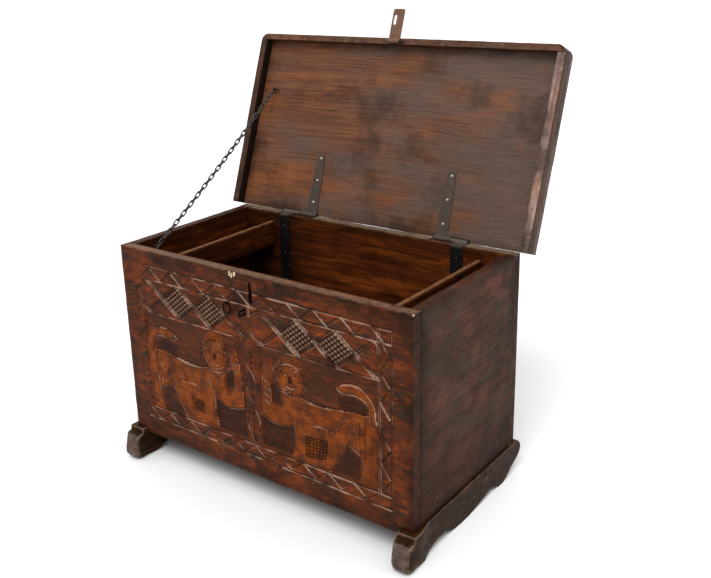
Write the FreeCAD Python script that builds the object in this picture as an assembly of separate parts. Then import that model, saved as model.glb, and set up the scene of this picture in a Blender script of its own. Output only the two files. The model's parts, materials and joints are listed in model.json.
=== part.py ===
import FreeCAD, Part
import math
import os

from FreeCAD import Vector

# A six-board coffer on two runners, in millimetres, with its lid open as it is used.
# X runs to the right, Y to the back and Z up from the floor. While it is being built, the case is
# centred on X = 0 and Y = 0; at the end everything is shifted so that the origin lies under the
# middle of the open chest's box.

# Case boards
CASE_WIDTH = 950.0
CASE_DEPTH = 518.0
CASE_HEIGHT = 550.0
FRONT_THICK = 32.0
BACK_THICK = 27.0
END_THICK = 29.0
FLOOR_THICK = 18.0
FLOOR_RAISE = 33.0
FLOOR_PLANKS = 3

# Old lock slot in the front board
SLOT_X = 0.0
SLOT_WIDTH = 8.0
SLOT_HEIGHT = 46.0
SLOT_DEPTH = 20.0
SLOT_DROP = 22.0

# Carving on the front, drawn on a face of this size: across from its left edge and down from the rim
DRAWN_WIDTH = 950.0
DRAWN_HEIGHT = 550.0
DRAWN_MIDDLE = 465.0
GROUND_DEPTH = 3.6
GAP_DEPTH = 6.0
GROOVE_WIDTH = 8.0
GROOVE_DEPTH = 3.2
BORDER_LINES = [((92, 41), (892, 50)), ((130, 79), (892, 84))]
LOZENGE_ROWS = [(97, 127), (504, 131)]
LOZENGE_COUNT = 4
LOZENGE_PITCH = 116.0
LOZENGE_HALF_HEIGHT = 45.0

# One lion on its sunk ground: out from the carving's middle line and down from the rim
GROUND_NEAR = 26.0
GROUND_FAR = 390.0
GROUND_TOP = 182.0
GROUND_FOOT = 463.0
LION_HEAD = (127, 250)
LION_HEAD_RADIUS = 43.0
LION_CREST = [(92, 222), (102, 196), (127, 186), (150, 192), (163, 222)]
LION_BODY = [
    (165, 290), (215, 300), (285, 290), (350, 283), (378, 291), (386, 320), (386, 400), (380, 460),
    (336, 460), (342, 408), (330, 394), (300, 378), (286, 410), (264, 440), (252, 460), (128, 460),
    (137, 420), (135, 374), (92, 388), (60, 385), (28, 373), (30, 345), (33, 290), (38, 240),
    (56, 214), (80, 225), (74, 250), (64, 275), (63, 330), (95, 336), (96, 304), (108, 288),
]
LION_TAIL = [
    (382, 310), (386, 262), (378, 238), (358, 222), (325, 215), (290, 219),
    (268, 231), (290, 242), (325, 240), (350, 247), (364, 264), (366, 295),
]
LION_GAPS = [
    [(66, 276), (92, 290), (93, 328), (66, 328)],
    [(27, 376), (60, 388), (92, 391), (134, 378), (135, 420), (126, 461), (27, 461)],
    [(300, 380), (334, 400), (334, 461), (256, 461), (284, 420)],
]

# Runners: heights above the floor, and distances from the case's front and back faces
RUNNER_HEIGHT = 92.0
RUNNER_THICK = 44.0
RUNNER_LEDGE = 6.0
STEP_REACH = 14.0
STEP_DROP = 14.0
TOE_START = 26.0
TOE_ROUND_REACH = 39.0
TOE_ROUND_LEVEL = 73.0
FACE_REACH = 44.0
FACE_LEVEL = 60.0
NOSE_REACH = 47.0
NOSE_LEVEL = 24.0
SOLE_ROUND_REACH = 42.0
SOLE_ROUND_LEVEL = 8.0
FOOT_REACH = 28.0
FOOT_INSIDE = 34.0
FOOT_FLARE = 10.0
FOOT_FLARE_START = 70.0
FOOT_FLARE_END = 14.0
FOOT_CHAMFER = 11.0
ARCH_RISE = 21.0
ARCH_MIDDLE_RISE = 16.8
ARCH_INSIDE = 150.0
CUSP_STEP = 4.0
CUSP_LEVEL = 14.0
BELLY_HALF = 25.0
BELLY_CENTRE = -15.0
BELLY_ROUND = 38.0
BELLY_ROUND_LEVEL = 4.0
REAR_ARCH_RISE = 18.0
REAR_ARCH_INSIDE = 134.0
REAR_ARCH_DIP = 1.1
HEEL_SWELL = 2.2
HEEL_START = 94.0
HEEL_END = 64.0
TAIL_LOW_REACH = 19.0
TAIL_LOW_LEVEL = 43.0
TAIL_REACH = 34.0
TAIL_LEVEL = 62.0
TAIL_TOP_REACH = 9.0

# Wooden pegs that hold the front and back boards to the ends
CORNER_PEG_RADIUS = 5.0
CORNER_PEG_LENGTH = 75.0
CORNER_PEG_COUNT = 4
CORNER_PEG_MARGIN = 60.0

# Dowels that hold the runners to the end boards
DOWEL_RADIUS = 8.0
DOWEL_BELOW = 55.0
DOWEL_ABOVE = 45.0
DOWEL_FROM_FACE = 150.0

# Tills, one inside each end
TILL_DROP = 30.0
TILL_HEIGHT = 75.0
TILL_SIDE_THICK = 13.0
TILL_FLOOR_THICK = 10.0
TILL_HOUSING = 6.0
LEFT_TILL_CLEAR = 95.0
RIGHT_TILL_CLEAR = 68.0

# Lid, measured as it lies closed
LID_OPEN_ANGLE = 110.0
LID_THICK = 23.0
LID_SEAT_GAP = 0.3
LIP_DEPTH = 30.0
FRONT_LIP_THICK = 18.0
FRONT_LIP_GAP = 2.0
SIDE_LIP_THICK = 24.0
SIDE_LIP_GAP = 10.0
LID_CORNER_RADIUS = 26.0

# Strap hinges: from the case's end to the barrel's middle, and half the way from lid strap to back strap
LEFT_HINGE_FROM_END = 221.0
LEFT_HINGE_HALF = 42.0
RIGHT_HINGE_FROM_END = 205.0
RIGHT_HINGE_HALF = 33.0
STRAP_THICK = 3.0
STRAP_WIDTH = 38.0
STRAP_TIP_WIDTH = 24.0
LID_STRAP_LENGTH = 185.0
STRAP_FLARE = 22.0
BACK_STRAP_LENGTH = 225.0
STRAP_RECESS = 4.0
PIN_RADIUS = 4.0
PIN_PLAY = 0.06
BARREL_WALL = 3.5
BARREL_CLEAR = 0.5
BARREL_GAP = 1.0
PIN_HEAD_RADIUS = 6.0
PIN_HEAD_THICK = 3.0

# Nails
NAIL_RADIUS = 2.0
NAIL_HEAD_RADIUS = 5.0
NAIL_HEAD_THICK = 2.0
FLOOR_NAIL_LENGTH = 60.0
FLOOR_NAIL_MIDDLE = 65.0
FLOOR_NAIL_SPAN = 550.0
FLOOR_NAIL_COUNT = 3
LIP_NAIL_LENGTH = 44.0
FRONT_LIP_NAIL_COUNT = 6
SIDE_LIP_NAIL_COUNT = 3
SIDE_LIP_NAIL_MARGIN = 55.0
STRAP_NAIL_LENGTH = 18.0
STRAP_NAIL_HEAD_RADIUS = 4.0
STRAP_NAIL_COUNT = 3
STRAP_NAIL_MARGIN = 12.0
LID_STRAP_FIRST_NAIL = 40.0
BACK_STRAP_FIRST_NAIL = 38.0

# Hasp on the front lip, and the staple it turns on
HASP_X = -10.0
HASP_WIDTH = 38.0
HASP_THICK = 3.5
HASP_LENGTH = 94.0
HASP_CORNER = 6.0
HASP_SLOT_WIDTH = 9.0
HASP_SLOT_LENGTH = 28.0
HASP_SLOT_CENTRE = 62.0
HASP_SLOT_SIDE = -9.0
HASP_EYE_WALL = 3.0
HASP_REST_GAP = 0.3
HASP_PIVOT_INSET = 11.0
HASP_STAPLE_RADIUS = 3.0
HASP_STAPLE_SPREAD = 24.0
HASP_STAPLE_GRIP = 22.0

# Staple on the front that the hasp goes over
LOCK_STAPLE_RADIUS = 2.2
LOCK_STAPLE_HALF = 6.0
LOCK_STAPLE_REACH = 25.0
LOCK_STAPLE_GRIP = 24.0

# Ring that hangs in an eye beside the staple
RING_X = -74.0
RING_DROP = 84.0
RING_WIRE = 2.2
RING_WIDTH = 22.0
RING_HEIGHT = 28.0
RING_CORNER = 6.0
RING_STANDOFF = 8.0
RING_EYE_WALL = 2.6
RING_EYE_LENGTH = 7.0
RING_EYE_SHANK = 2.4
RING_EYE_GRIP = 24.0

# Chain and its two staples
CHAIN_OFF_END = 12.0
CHAIN_LID_REACH = 367.0
CHAIN_LID_STANDOFF = 13.0
CHAIN_CASE_Y = -165.0
CHAIN_CASE_DROP = 26.0
CHAIN_SAG = 9.0
CHAIN_WIRE = 1.9
CHAIN_PITCH = 18.3
CHAIN_LINK_WIDTH = 17.0
CHAIN_PLAY = 0.4
CHAIN_STEPS = 400
CHAIN_STAPLE_RADIUS = 2.0
CHAIN_STAPLE_HALF = 8.0
CHAIN_STAPLE_GRIP = 15.0

# Places worked out from the sizes above
RIGHT_FACE = CASE_WIDTH / 2
FRONT_FACE = -CASE_DEPTH / 2
BACK_FACE = CASE_DEPTH / 2
CASE_BOTTOM = RUNNER_HEIGHT
RIM = RUNNER_HEIGHT + CASE_HEIGHT
FRONT_INNER = FRONT_FACE + FRONT_THICK
BACK_INNER = BACK_FACE - BACK_THICK
END_INNER = RIGHT_FACE - END_THICK
FLOOR_TOP = CASE_BOTTOM + FLOOR_RAISE + FLOOR_THICK
TILL_TOP = RIM - TILL_DROP
TILL_BOTTOM = TILL_TOP - TILL_HEIGHT
LID_UNDER = RIM + LID_SEAT_GAP
LID_SIDE = RIGHT_FACE + SIDE_LIP_GAP + SIDE_LIP_THICK
LIP_INNER_Y = FRONT_FACE - FRONT_LIP_GAP
LID_FRONT_Y = LIP_INNER_Y - FRONT_LIP_THICK
LIP_UNDER = LID_UNDER - LIP_DEPTH
BARREL_RADIUS = PIN_RADIUS + PIN_PLAY + BARREL_WALL
HINGE_AXIS = Vector(0, BACK_FACE, RIM)
LEFT_HINGE_X = LEFT_HINGE_FROM_END - RIGHT_FACE
RIGHT_HINGE_X = RIGHT_FACE - RIGHT_HINGE_FROM_END
HINGES = {"left": (LEFT_HINGE_X, LEFT_HINGE_HALF, -1), "right": (RIGHT_HINGE_X, RIGHT_HINGE_HALF, 1)}
HASP_EYE_RADIUS = HASP_STAPLE_RADIUS + PIN_PLAY + HASP_EYE_WALL
HASP_AXIS = Vector(HASP_X, LID_FRONT_Y + HASP_PIVOT_INSET, LIP_UNDER - HASP_REST_GAP - HASP_EYE_RADIUS)
LOCK_STAPLE_X = HASP_X + HASP_SLOT_SIDE
LOCK_STAPLE_Z = HASP_AXIS.z - HASP_SLOT_CENTRE
RING_AXIS = Vector(RING_X, FRONT_FACE - RING_STANDOFF, RIM - RING_DROP)
CHAIN_X = CHAIN_OFF_END - END_INNER
CHAIN_CASE_Z = RIM - CHAIN_CASE_DROP


# Plain shapes

def block(x0, x1, y0, y1, z0, z1):
    return Part.makeBox(x1 - x0, y1 - y0, z1 - z0, Vector(x0, y0, z0))


def rod(start, end, radius):
    along = end - start
    return Part.makeCylinder(radius, along.Length, start, along)


def plate(points, lift):
    """A flat plate: a closed polygon, raised by a vector."""
    return Part.Face(Part.makePolygon(points + points[:1])).extrude(lift)


def fuse_all(shapes):
    return shapes[0].multiFuse(shapes[1:]).removeSplitter()


def spread(low, high, count):
    """Places from low to high, evenly spaced, both ends included."""
    step = (high - low) / (count - 1)
    return [low + step * i for i in range(count)]


def nail(seat, into, length, head_radius=NAIL_HEAD_RADIUS):
    """A forged nail: its head stands on the seat, and its shank goes into the wood."""
    shank = Part.makeCylinder(NAIL_RADIUS, length, seat, into)
    head = Part.makeCone(head_radius, head_radius / 2, NAIL_HEAD_THICK, seat, -into)
    return shank.fuse(head)


def staple(middle, across, inward, radius, half, reach):
    """A wire staple: a crossbar centred on middle, with two legs that go inward by reach."""
    ends = [middle - across * half, middle + across * half]
    pieces = [rod(ends[0], ends[1], radius)]
    for end in ends:
        pieces.append(rod(end, end + inward * reach, radius))
        pieces.append(Part.makeSphere(radius, end))
    return fuse_all(pieces)


def oval_loop(half_length, half_width, wire, corner):
    """A closed wire loop in the XZ plane, with rounded corners, centred on the origin."""
    x, z = half_width - corner, half_length - corner
    pieces = []
    for sign_x, sign_z, turn in ((1, 1, 0), (-1, 1, 90), (-1, -1, 180), (1, -1, 270)):
        bend = Part.makeTorus(corner, wire, Vector(), Vector(0, 0, 1), -180, 180, 90)
        bend.rotate(Vector(), Vector(1, 0, 0), 90)
        bend.rotate(Vector(), Vector(0, -1, 0), turn)
        bend.translate(Vector(sign_x * x, 0, sign_z * z))
        pieces.append(bend)
    for sign in (1, -1):
        if z > 0:
            pieces.append(rod(Vector(sign * half_width, 0, -z), Vector(sign * half_width, 0, z), wire))
        if x > 0:
            pieces.append(rod(Vector(-x, 0, sign * half_length), Vector(x, 0, sign * half_length), wire))
    return fuse_all(pieces)


# Carving

def on_front(across, down):
    """A point of the front face from its place in the carving's drawing."""
    x = across * CASE_WIDTH / DRAWN_WIDTH - RIGHT_FACE
    return Vector(x, FRONT_FACE, RIM - down * CASE_HEIGHT / DRAWN_HEIGHT)


def beside_middle(side, outline):
    """An outline's points on the front face, on one side of the carving's middle line."""
    return [on_front(DRAWN_MIDDLE + side * out, down) for out, down in outline]


def sunk(points, depth):
    return plate(points, Vector(0, depth, 0))


def sunk_curve(points, depth):
    """The same for a smooth closed curve through the points."""
    curve = Part.BSplineCurve()
    curve.interpolate(points, PeriodicFlag=True)
    return Part.Face(Part.Wire(curve.toShape())).extrude(Vector(0, depth, 0))


def groove(start, end):
    """A straight cut with a V section between two points of the front face."""
    along = end - start
    half = Vector(along).cross(Vector(0, 1, 0)).normalize() * (GROOVE_WIDTH / 2)
    return plate([start - half, start + half, start + Vector(0, GROOVE_DEPTH, 0)], along)


def lion_ground(side):
    """The sunk ground on one side of the middle, with its lion left standing, and the deeper gaps."""
    field = [(GROUND_NEAR, GROUND_TOP), (GROUND_FAR, GROUND_TOP),
             (GROUND_FAR, GROUND_FOOT), (GROUND_NEAR, GROUND_FOOT)]
    head_middle = beside_middle(side, [LION_HEAD])[0]
    head = Part.makeCylinder(LION_HEAD_RADIUS, GROUND_DEPTH, head_middle, Vector(0, 1, 0))
    lion = [sunk_curve(beside_middle(side, LION_BODY), GROUND_DEPTH),
            sunk_curve(beside_middle(side, LION_TAIL), GROUND_DEPTH),
            sunk(beside_middle(side, LION_CREST), GROUND_DEPTH), head]
    ground = sunk(beside_middle(side, field), GROUND_DEPTH).cut(lion)
    return [ground] + [sunk(beside_middle(side, gap), GAP_DEPTH) for gap in LION_GAPS]


def lozenge_row(first, down):
    """Lozenges that touch at their side corners, each outlined with four cuts."""
    half = LOZENGE_PITCH / 2
    cuts = []
    for index in range(LOZENGE_COUNT):
        middle = first + LOZENGE_PITCH * index
        corners = [on_front(middle - half, down), on_front(middle, down - LOZENGE_HALF_HEIGHT),
                   on_front(middle + half, down), on_front(middle, down + LOZENGE_HALF_HEIGHT)]
        cuts += [groove(a, b) for a, b in zip(corners, corners[1:] + corners[:1])]
    return cuts


def front_carving():
    cuts = [groove(on_front(*start), on_front(*end)) for start, end in BORDER_LINES]
    for first, down in LOZENGE_ROWS:
        cuts += lozenge_row(first, down)
    for side in (-1, 1):
        cuts += lion_ground(side)
    return cuts


# Case

def front_board():
    board = block(-RIGHT_FACE, RIGHT_FACE, FRONT_FACE, FRONT_INNER, CASE_BOTTOM, RIM)
    slot_top = RIM - SLOT_DROP
    slot = block(SLOT_X - SLOT_WIDTH / 2, SLOT_X + SLOT_WIDTH / 2, FRONT_FACE, FRONT_FACE + SLOT_DEPTH,
                 slot_top - SLOT_HEIGHT, slot_top)
    return board.cut([slot] + front_carving())


def back_board():
    board = block(-RIGHT_FACE, RIGHT_FACE, BACK_INNER, BACK_FACE, CASE_BOTTOM, RIM)
    for name in HINGES:
        board = board.cut(barrel_room(name))
        left, right = barrel_span(name)
        board = board.cut(block(left, right, BACK_INNER, BACK_FACE, RIM - STRAP_RECESS, RIM))
    return board


def end_board(side):
    x0, x1 = sorted((side * END_INNER, side * RIGHT_FACE))
    return block(x0, x1, FRONT_INNER, BACK_INNER, CASE_BOTTOM, RIM)


def bottom_plank(index):
    width = (BACK_INNER - FRONT_INNER) / FLOOR_PLANKS
    y0 = FRONT_INNER + width * index
    return block(-END_INNER, END_INNER, y0, y0 + width, FLOOR_TOP - FLOOR_THICK, FLOOR_TOP)


def runner_outline():
    """The runner seen from its side: stepped front foot, two arches with a belly between, raised tail."""
    def at(y, z):
        return Vector(0, y, z)

    def line(start, end):
        return Part.LineSegment(start, end).toShape()

    def arc(start, middle, end):
        return Part.Arc(start, middle, end).toShape()

    step_top = at(FRONT_FACE - STEP_REACH, RUNNER_HEIGHT)
    step_foot = at(FRONT_FACE - STEP_REACH, RUNNER_HEIGHT - STEP_DROP)
    toe = at(FRONT_FACE - TOE_START, RUNNER_HEIGHT - STEP_DROP)
    toe_round = at(FRONT_FACE - TOE_ROUND_REACH, TOE_ROUND_LEVEL)
    face_top = at(FRONT_FACE - FACE_REACH, FACE_LEVEL)
    nose = at(FRONT_FACE - NOSE_REACH, NOSE_LEVEL)
    sole_round = at(FRONT_FACE - SOLE_ROUND_REACH, SOLE_ROUND_LEVEL)
    foot_front = at(FRONT_FACE - FOOT_REACH, 0)
    foot_back = at(FRONT_FACE + FOOT_INSIDE, 0)
    arch_middle = at(FRONT_FACE + (FOOT_INSIDE + ARCH_INSIDE) / 2, ARCH_MIDDLE_RISE)
    arch_end = at(FRONT_FACE + ARCH_INSIDE, ARCH_RISE)
    cusp = at(FRONT_FACE + ARCH_INSIDE + CUSP_STEP, CUSP_LEVEL)
    belly_front = at(BELLY_CENTRE - BELLY_HALF, 0)
    belly_round = at(BELLY_CENTRE - BELLY_HALF - BELLY_ROUND, BELLY_ROUND_LEVEL)
    belly_back = at(BELLY_CENTRE + BELLY_HALF, 0)
    rear_arch = at(BACK_FACE - REAR_ARCH_INSIDE, REAR_ARCH_RISE)
    rear_middle = (belly_back + rear_arch) / 2 - at(0, REAR_ARCH_DIP)
    heel_front = at(BACK_FACE - HEEL_START, 0)
    heel_middle = (rear_arch + heel_front) / 2 + at(0, HEEL_SWELL)
    heel_back = at(BACK_FACE - HEEL_END, 0)
    tail_low = at(BACK_FACE + TAIL_LOW_REACH, TAIL_LOW_LEVEL)
    tail = at(BACK_FACE + TAIL_REACH, TAIL_LEVEL)
    tail_top = at(BACK_FACE + TAIL_TOP_REACH, RUNNER_HEIGHT)
    return Part.Wire([
        line(step_top, step_foot),
        line(step_foot, toe),
        arc(toe, toe_round, face_top),
        line(face_top, nose),
        arc(nose, sole_round, foot_front),
        line(foot_front, foot_back),
        arc(foot_back, arch_middle, arch_end),
        line(arch_end, cusp),
        arc(cusp, belly_round, belly_front),
        line(belly_front, belly_back),
        arc(belly_back, rear_middle, rear_arch),
        arc(rear_arch, heel_middle, heel_front),
        line(heel_front, heel_back),
        line(heel_back, tail_low),
        arc(tail_low, tail, tail_top),
        line(tail_top, step_top),
    ])


def runner_plan(side):
    """The runner seen from above: a bar whose front foot is wider, with its upright edges cut off."""
    outer = RIGHT_FACE + RUNNER_LEDGE
    inner = outer - RUNNER_THICK
    wide = outer + FOOT_FLARE
    front = FRONT_FACE - NOSE_REACH
    back = BACK_FACE + TAIL_REACH
    outline = [(inner, back), (outer, back), (outer, FRONT_FACE + FOOT_FLARE_START),
               (wide, FRONT_FACE + FOOT_FLARE_END), (wide, front + FOOT_CHAMFER),
               (wide - FOOT_CHAMFER, front), (inner + FOOT_CHAMFER, front), (inner, front + FOOT_CHAMFER)]
    return plate([Vector(side * x, y, 0) for x, y in outline], Vector(0, 0, RUNNER_HEIGHT))


def runner(side):
    widest = side * (RIGHT_FACE + RUNNER_LEDGE + FOOT_FLARE)
    body = Part.Face(runner_outline()).extrude(Vector(-side * (RUNNER_THICK + FOOT_FLARE), 0, 0))
    body.translate(Vector(widest, 0, 0))
    return body.common(runner_plan(side))


def runner_dowels():
    dowels = []
    for side in (-1, 1):
        x = side * (RIGHT_FACE + END_INNER) / 2
        for y in (FRONT_FACE + DOWEL_FROM_FACE, BACK_FACE - DOWEL_FROM_FACE):
            low = Vector(x, y, CASE_BOTTOM - DOWEL_BELOW)
            dowels.append(rod(low, low + Vector(0, 0, DOWEL_BELOW + DOWEL_ABOVE), DOWEL_RADIUS))
    return dowels


# Tills

def till_span(side):
    """The till's clear space across the chest, and the far face of its side board."""
    clear = LEFT_TILL_CLEAR if side < 0 else RIGHT_TILL_CLEAR
    near = side * END_INNER
    far = side * (END_INNER - clear)
    return near, far, far - side * TILL_SIDE_THICK


def till_side(side):
    near, far, face = till_span(side)
    x0, x1 = sorted((far, face))
    return block(x0, x1, FRONT_INNER - TILL_HOUSING, BACK_INNER + TILL_HOUSING, TILL_BOTTOM, TILL_TOP)


def till_floor(side):
    near, far, face = till_span(side)
    x0, x1 = sorted((near, far))
    return block(x0, x1, FRONT_INNER - TILL_HOUSING, BACK_INNER + TILL_HOUSING,
                 TILL_BOTTOM, TILL_BOTTOM + TILL_FLOOR_THICK)


# Lid, built closed

def lid_outline():
    """The lid seen from above, with its two front corners rounded, as a block from top to lip."""
    envelope = block(-LID_SIDE, LID_SIDE, LID_FRONT_Y, BACK_FACE, LIP_UNDER, LID_UNDER + LID_THICK)
    corners = [e for e in envelope.Edges
               if abs(e.Vertexes[0].Z - e.Vertexes[1].Z) > LIP_DEPTH and e.Vertexes[0].Y < 0]
    return envelope.makeFillet(LID_CORNER_RADIUS, corners)


def lid_board():
    board = block(-LID_SIDE, LID_SIDE, LID_FRONT_Y, BACK_FACE, LID_UNDER, LID_UNDER + LID_THICK)
    board = board.common(lid_outline())
    for name in HINGES:
        board = board.cut(barrel_room(name))
    return board


def front_lip():
    lip = block(-LID_SIDE, LID_SIDE, LID_FRONT_Y, LIP_INNER_Y, LIP_UNDER, LID_UNDER)
    return lip.common(lid_outline())


def side_lip(side):
    x0, x1 = sorted((side * (RIGHT_FACE + SIDE_LIP_GAP), side * LID_SIDE))
    lip = block(x0, x1, LIP_INNER_Y, BACK_FACE, LIP_UNDER, LID_UNDER)
    return lip.common(lid_outline())


# Strap hinges

def hinge_places(name):
    """Centre of the barrel, the lid strap's middle, the back strap's middle, and one barrel half's width."""
    centre, half, outward = HINGES[name]
    width = half + STRAP_WIDTH / 2
    return centre, centre - outward * half, centre + outward * half, width


def barrel_span(name):
    centre, lid_x, back_x, width = hinge_places(name)
    room = width + PIN_HEAD_THICK + BARREL_GAP
    return centre - room, centre + room


def barrel_room(name):
    """The round room that both boards leave for the barrel."""
    left, right = barrel_span(name)
    return rod(Vector(left, BACK_FACE, RIM), Vector(right, BACK_FACE, RIM), BARREL_RADIUS + BARREL_CLEAR)


def barrel(x0, x1, bore):
    low, high = sorted((x0, x1))
    start, end = Vector(low, BACK_FACE, RIM), Vector(high, BACK_FACE, RIM)
    return rod(start, end, BARREL_RADIUS), rod(start, end, bore)


def lid_strap(name):
    """A tapered strap under the lid, flared at its root to the width of its half of the barrel."""
    centre, lid_x, back_x, width = hinge_places(name)
    inward = math.copysign(1, lid_x - centre)
    root = [centre + inward * BARREL_GAP / 2, centre + inward * width]
    half, tip = STRAP_WIDTH / 2, STRAP_TIP_WIDTH / 2
    flat_y = BACK_FACE - BARREL_RADIUS
    flare_y = BACK_FACE - STRAP_FLARE
    tip_y = BACK_FACE - LID_STRAP_LENGTH
    low, high = min(root), max(root)
    outline = [(low, BACK_FACE), (high, BACK_FACE), (high, flat_y), (lid_x + half, flare_y),
               (lid_x + tip, tip_y), (lid_x - tip, tip_y), (lid_x - half, flare_y), (low, flat_y)]
    leaf = plate([Vector(x, y, LID_UNDER) for x, y in outline], Vector(0, 0, -STRAP_THICK))
    tube, bore = barrel(low, high, PIN_RADIUS + PIN_PLAY)
    return fuse_all([leaf, tube]).cut(bore)


def back_strap(name):
    """A strap from the barrel over the rim and down the back board's inner face."""
    centre, lid_x, back_x, width = hinge_places(name)
    outward = math.copysign(1, back_x - centre)
    low, high = sorted((centre + outward * BARREL_GAP / 2, centre + outward * width))
    half = STRAP_WIDTH / 2
    top = RIM - STRAP_RECESS + STRAP_THICK
    over = block(low, high, BACK_FACE - BARREL_RADIUS, BACK_FACE, top - STRAP_THICK, top)
    across = block(back_x - half, back_x + half, BACK_INNER - STRAP_THICK, BACK_FACE, top - STRAP_THICK, top)
    down = block(back_x - half, back_x + half, BACK_INNER - STRAP_THICK, BACK_INNER,
                 RIM - BACK_STRAP_LENGTH, top)
    tube, bore = barrel(low, high, PIN_RADIUS)
    return fuse_all([over, across, down, tube]).cut(bore)


def hinge_pin(name):
    centre, lid_x, back_x, width = hinge_places(name)
    start, end = Vector(centre - width, BACK_FACE, RIM), Vector(centre + width, BACK_FACE, RIM)
    head = Vector(PIN_HEAD_THICK, 0, 0)
    play = Vector(PIN_PLAY, 0, 0)
    return fuse_all([
        rod(start - play - head, end + play + head, PIN_RADIUS),
        rod(start - play - head, start - play, PIN_HEAD_RADIUS),
        rod(end + play, end + play + head, PIN_HEAD_RADIUS),
    ])


# Pegs and nails

def corner_pegs():
    """Pegs through the front and back boards into the ends, cut off flush."""
    pegs = []
    for x in (-(RIGHT_FACE + END_INNER) / 2, (RIGHT_FACE + END_INNER) / 2):
        for z in spread(CASE_BOTTOM + CORNER_PEG_MARGIN, RIM - CORNER_PEG_MARGIN, CORNER_PEG_COUNT):
            for y, inward in ((FRONT_FACE, 1), (BACK_FACE, -1)):
                flush = Vector(x, y, z)
                pegs.append(rod(flush, flush + Vector(0, inward * CORNER_PEG_LENGTH, 0), CORNER_PEG_RADIUS))
    return pegs


def floor_nails():
    nails = []
    z = FLOOR_TOP - FLOOR_THICK / 2
    for reach in spread(-FLOOR_NAIL_SPAN / 2, FLOOR_NAIL_SPAN / 2, FLOOR_NAIL_COUNT):
        x = FLOOR_NAIL_MIDDLE + reach
        nails.append(nail(Vector(x, FRONT_FACE, z), Vector(0, 1, 0), FLOOR_NAIL_LENGTH))
        nails.append(nail(Vector(x, BACK_FACE, z), Vector(0, -1, 0), FLOOR_NAIL_LENGTH))
    plank = (BACK_INNER - FRONT_INNER) / FLOOR_PLANKS
    for index in range(FLOOR_PLANKS):
        y = FRONT_INNER + plank * (index + 0.5)
        for side in (-1, 1):
            nails.append(nail(Vector(side * RIGHT_FACE, y, z), Vector(-side, 0, 0), FLOOR_NAIL_LENGTH))
    return nails


def lip_nails():
    top = LID_UNDER + LID_THICK
    nails = []
    front_y = (LID_FRONT_Y + LIP_INNER_Y) / 2
    for x in spread(-RIGHT_FACE, RIGHT_FACE, FRONT_LIP_NAIL_COUNT):
        nails.append(nail(Vector(x, front_y, top), Vector(0, 0, -1), LIP_NAIL_LENGTH))
    side_x = LID_SIDE - SIDE_LIP_THICK / 2
    first, last = FRONT_INNER + SIDE_LIP_NAIL_MARGIN, BACK_FACE - SIDE_LIP_NAIL_MARGIN
    for y in spread(first, last, SIDE_LIP_NAIL_COUNT):
        for side in (-1, 1):
            nails.append(nail(Vector(side * side_x, y, top), Vector(0, 0, -1), LIP_NAIL_LENGTH))
    return nails


def lid_strap_nails():
    nails = []
    seat = LID_UNDER - STRAP_THICK
    for name in HINGES:
        centre, lid_x, back_x, width = hinge_places(name)
        for reach in spread(LID_STRAP_FIRST_NAIL, LID_STRAP_LENGTH - STRAP_NAIL_MARGIN, STRAP_NAIL_COUNT):
            nails.append(nail(Vector(lid_x, BACK_FACE - reach, seat), Vector(0, 0, 1),
                              STRAP_NAIL_LENGTH, STRAP_NAIL_HEAD_RADIUS))
    return nails


def back_strap_nails():
    nails = []
    seat = BACK_INNER - STRAP_THICK
    for name in HINGES:
        centre, lid_x, back_x, width = hinge_places(name)
        for drop in spread(BACK_STRAP_FIRST_NAIL, BACK_STRAP_LENGTH - STRAP_NAIL_MARGIN, STRAP_NAIL_COUNT):
            nails.append(nail(Vector(back_x, seat, RIM - drop), Vector(0, 1, 0),
                              STRAP_NAIL_LENGTH, STRAP_NAIL_HEAD_RADIUS))
    return nails


# Hasp, staples and ring

def hasp_staple():
    """The staple under the front lip that the hasp turns on."""
    reach = LIP_UNDER - HASP_AXIS.z + HASP_STAPLE_GRIP
    return staple(HASP_AXIS, Vector(1, 0, 0), Vector(0, 0, 1), HASP_STAPLE_RADIUS, HASP_STAPLE_SPREAD, reach)


def hasp():
    """A flat slotted plate with an eye at its root, lying under the lip and reaching past it."""
    half = HASP_WIDTH / 2
    tip_y = HASP_AXIS.y - HASP_LENGTH
    top = LIP_UNDER - HASP_REST_GAP
    leaf = block(HASP_X - half, HASP_X + half, tip_y, HASP_AXIS.y, top - HASP_THICK, top)
    upright = [e for e in leaf.Edges if abs(e.Vertexes[0].Z - e.Vertexes[1].Z) > HASP_THICK / 2]
    tip_edges = [e for e in upright if e.Vertexes[0].Y < tip_y + half]
    leaf = leaf.makeFillet(HASP_CORNER, tip_edges)
    start, end = HASP_AXIS - Vector(half, 0, 0), HASP_AXIS + Vector(half, 0, 0)
    body = fuse_all([leaf, rod(start, end, HASP_EYE_RADIUS)])
    body = body.cut(rod(start, end, HASP_STAPLE_RADIUS + PIN_PLAY))
    slot_y = HASP_AXIS.y - HASP_SLOT_CENTRE
    slot_x = LOCK_STAPLE_X
    slot_half = HASP_SLOT_WIDTH / 2
    straight = (HASP_SLOT_LENGTH - HASP_SLOT_WIDTH) / 2
    slot = [block(slot_x - slot_half, slot_x + slot_half, slot_y - straight, slot_y + straight,
                  top - HASP_THICK, top)]
    for y in (slot_y - straight, slot_y + straight):
        slot.append(rod(Vector(slot_x, y, top - HASP_THICK), Vector(slot_x, y, top), slot_half))
    return body.cut(fuse_all(slot))


def lock_staple():
    """The upright staple on the front that comes through the hasp's slot."""
    nose = Vector(LOCK_STAPLE_X, FRONT_FACE - LOCK_STAPLE_REACH + LOCK_STAPLE_RADIUS, LOCK_STAPLE_Z)
    return staple(nose, Vector(0, 0, 1), Vector(0, 1, 0), LOCK_STAPLE_RADIUS, LOCK_STAPLE_HALF,
                  LOCK_STAPLE_REACH + LOCK_STAPLE_GRIP)


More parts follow.
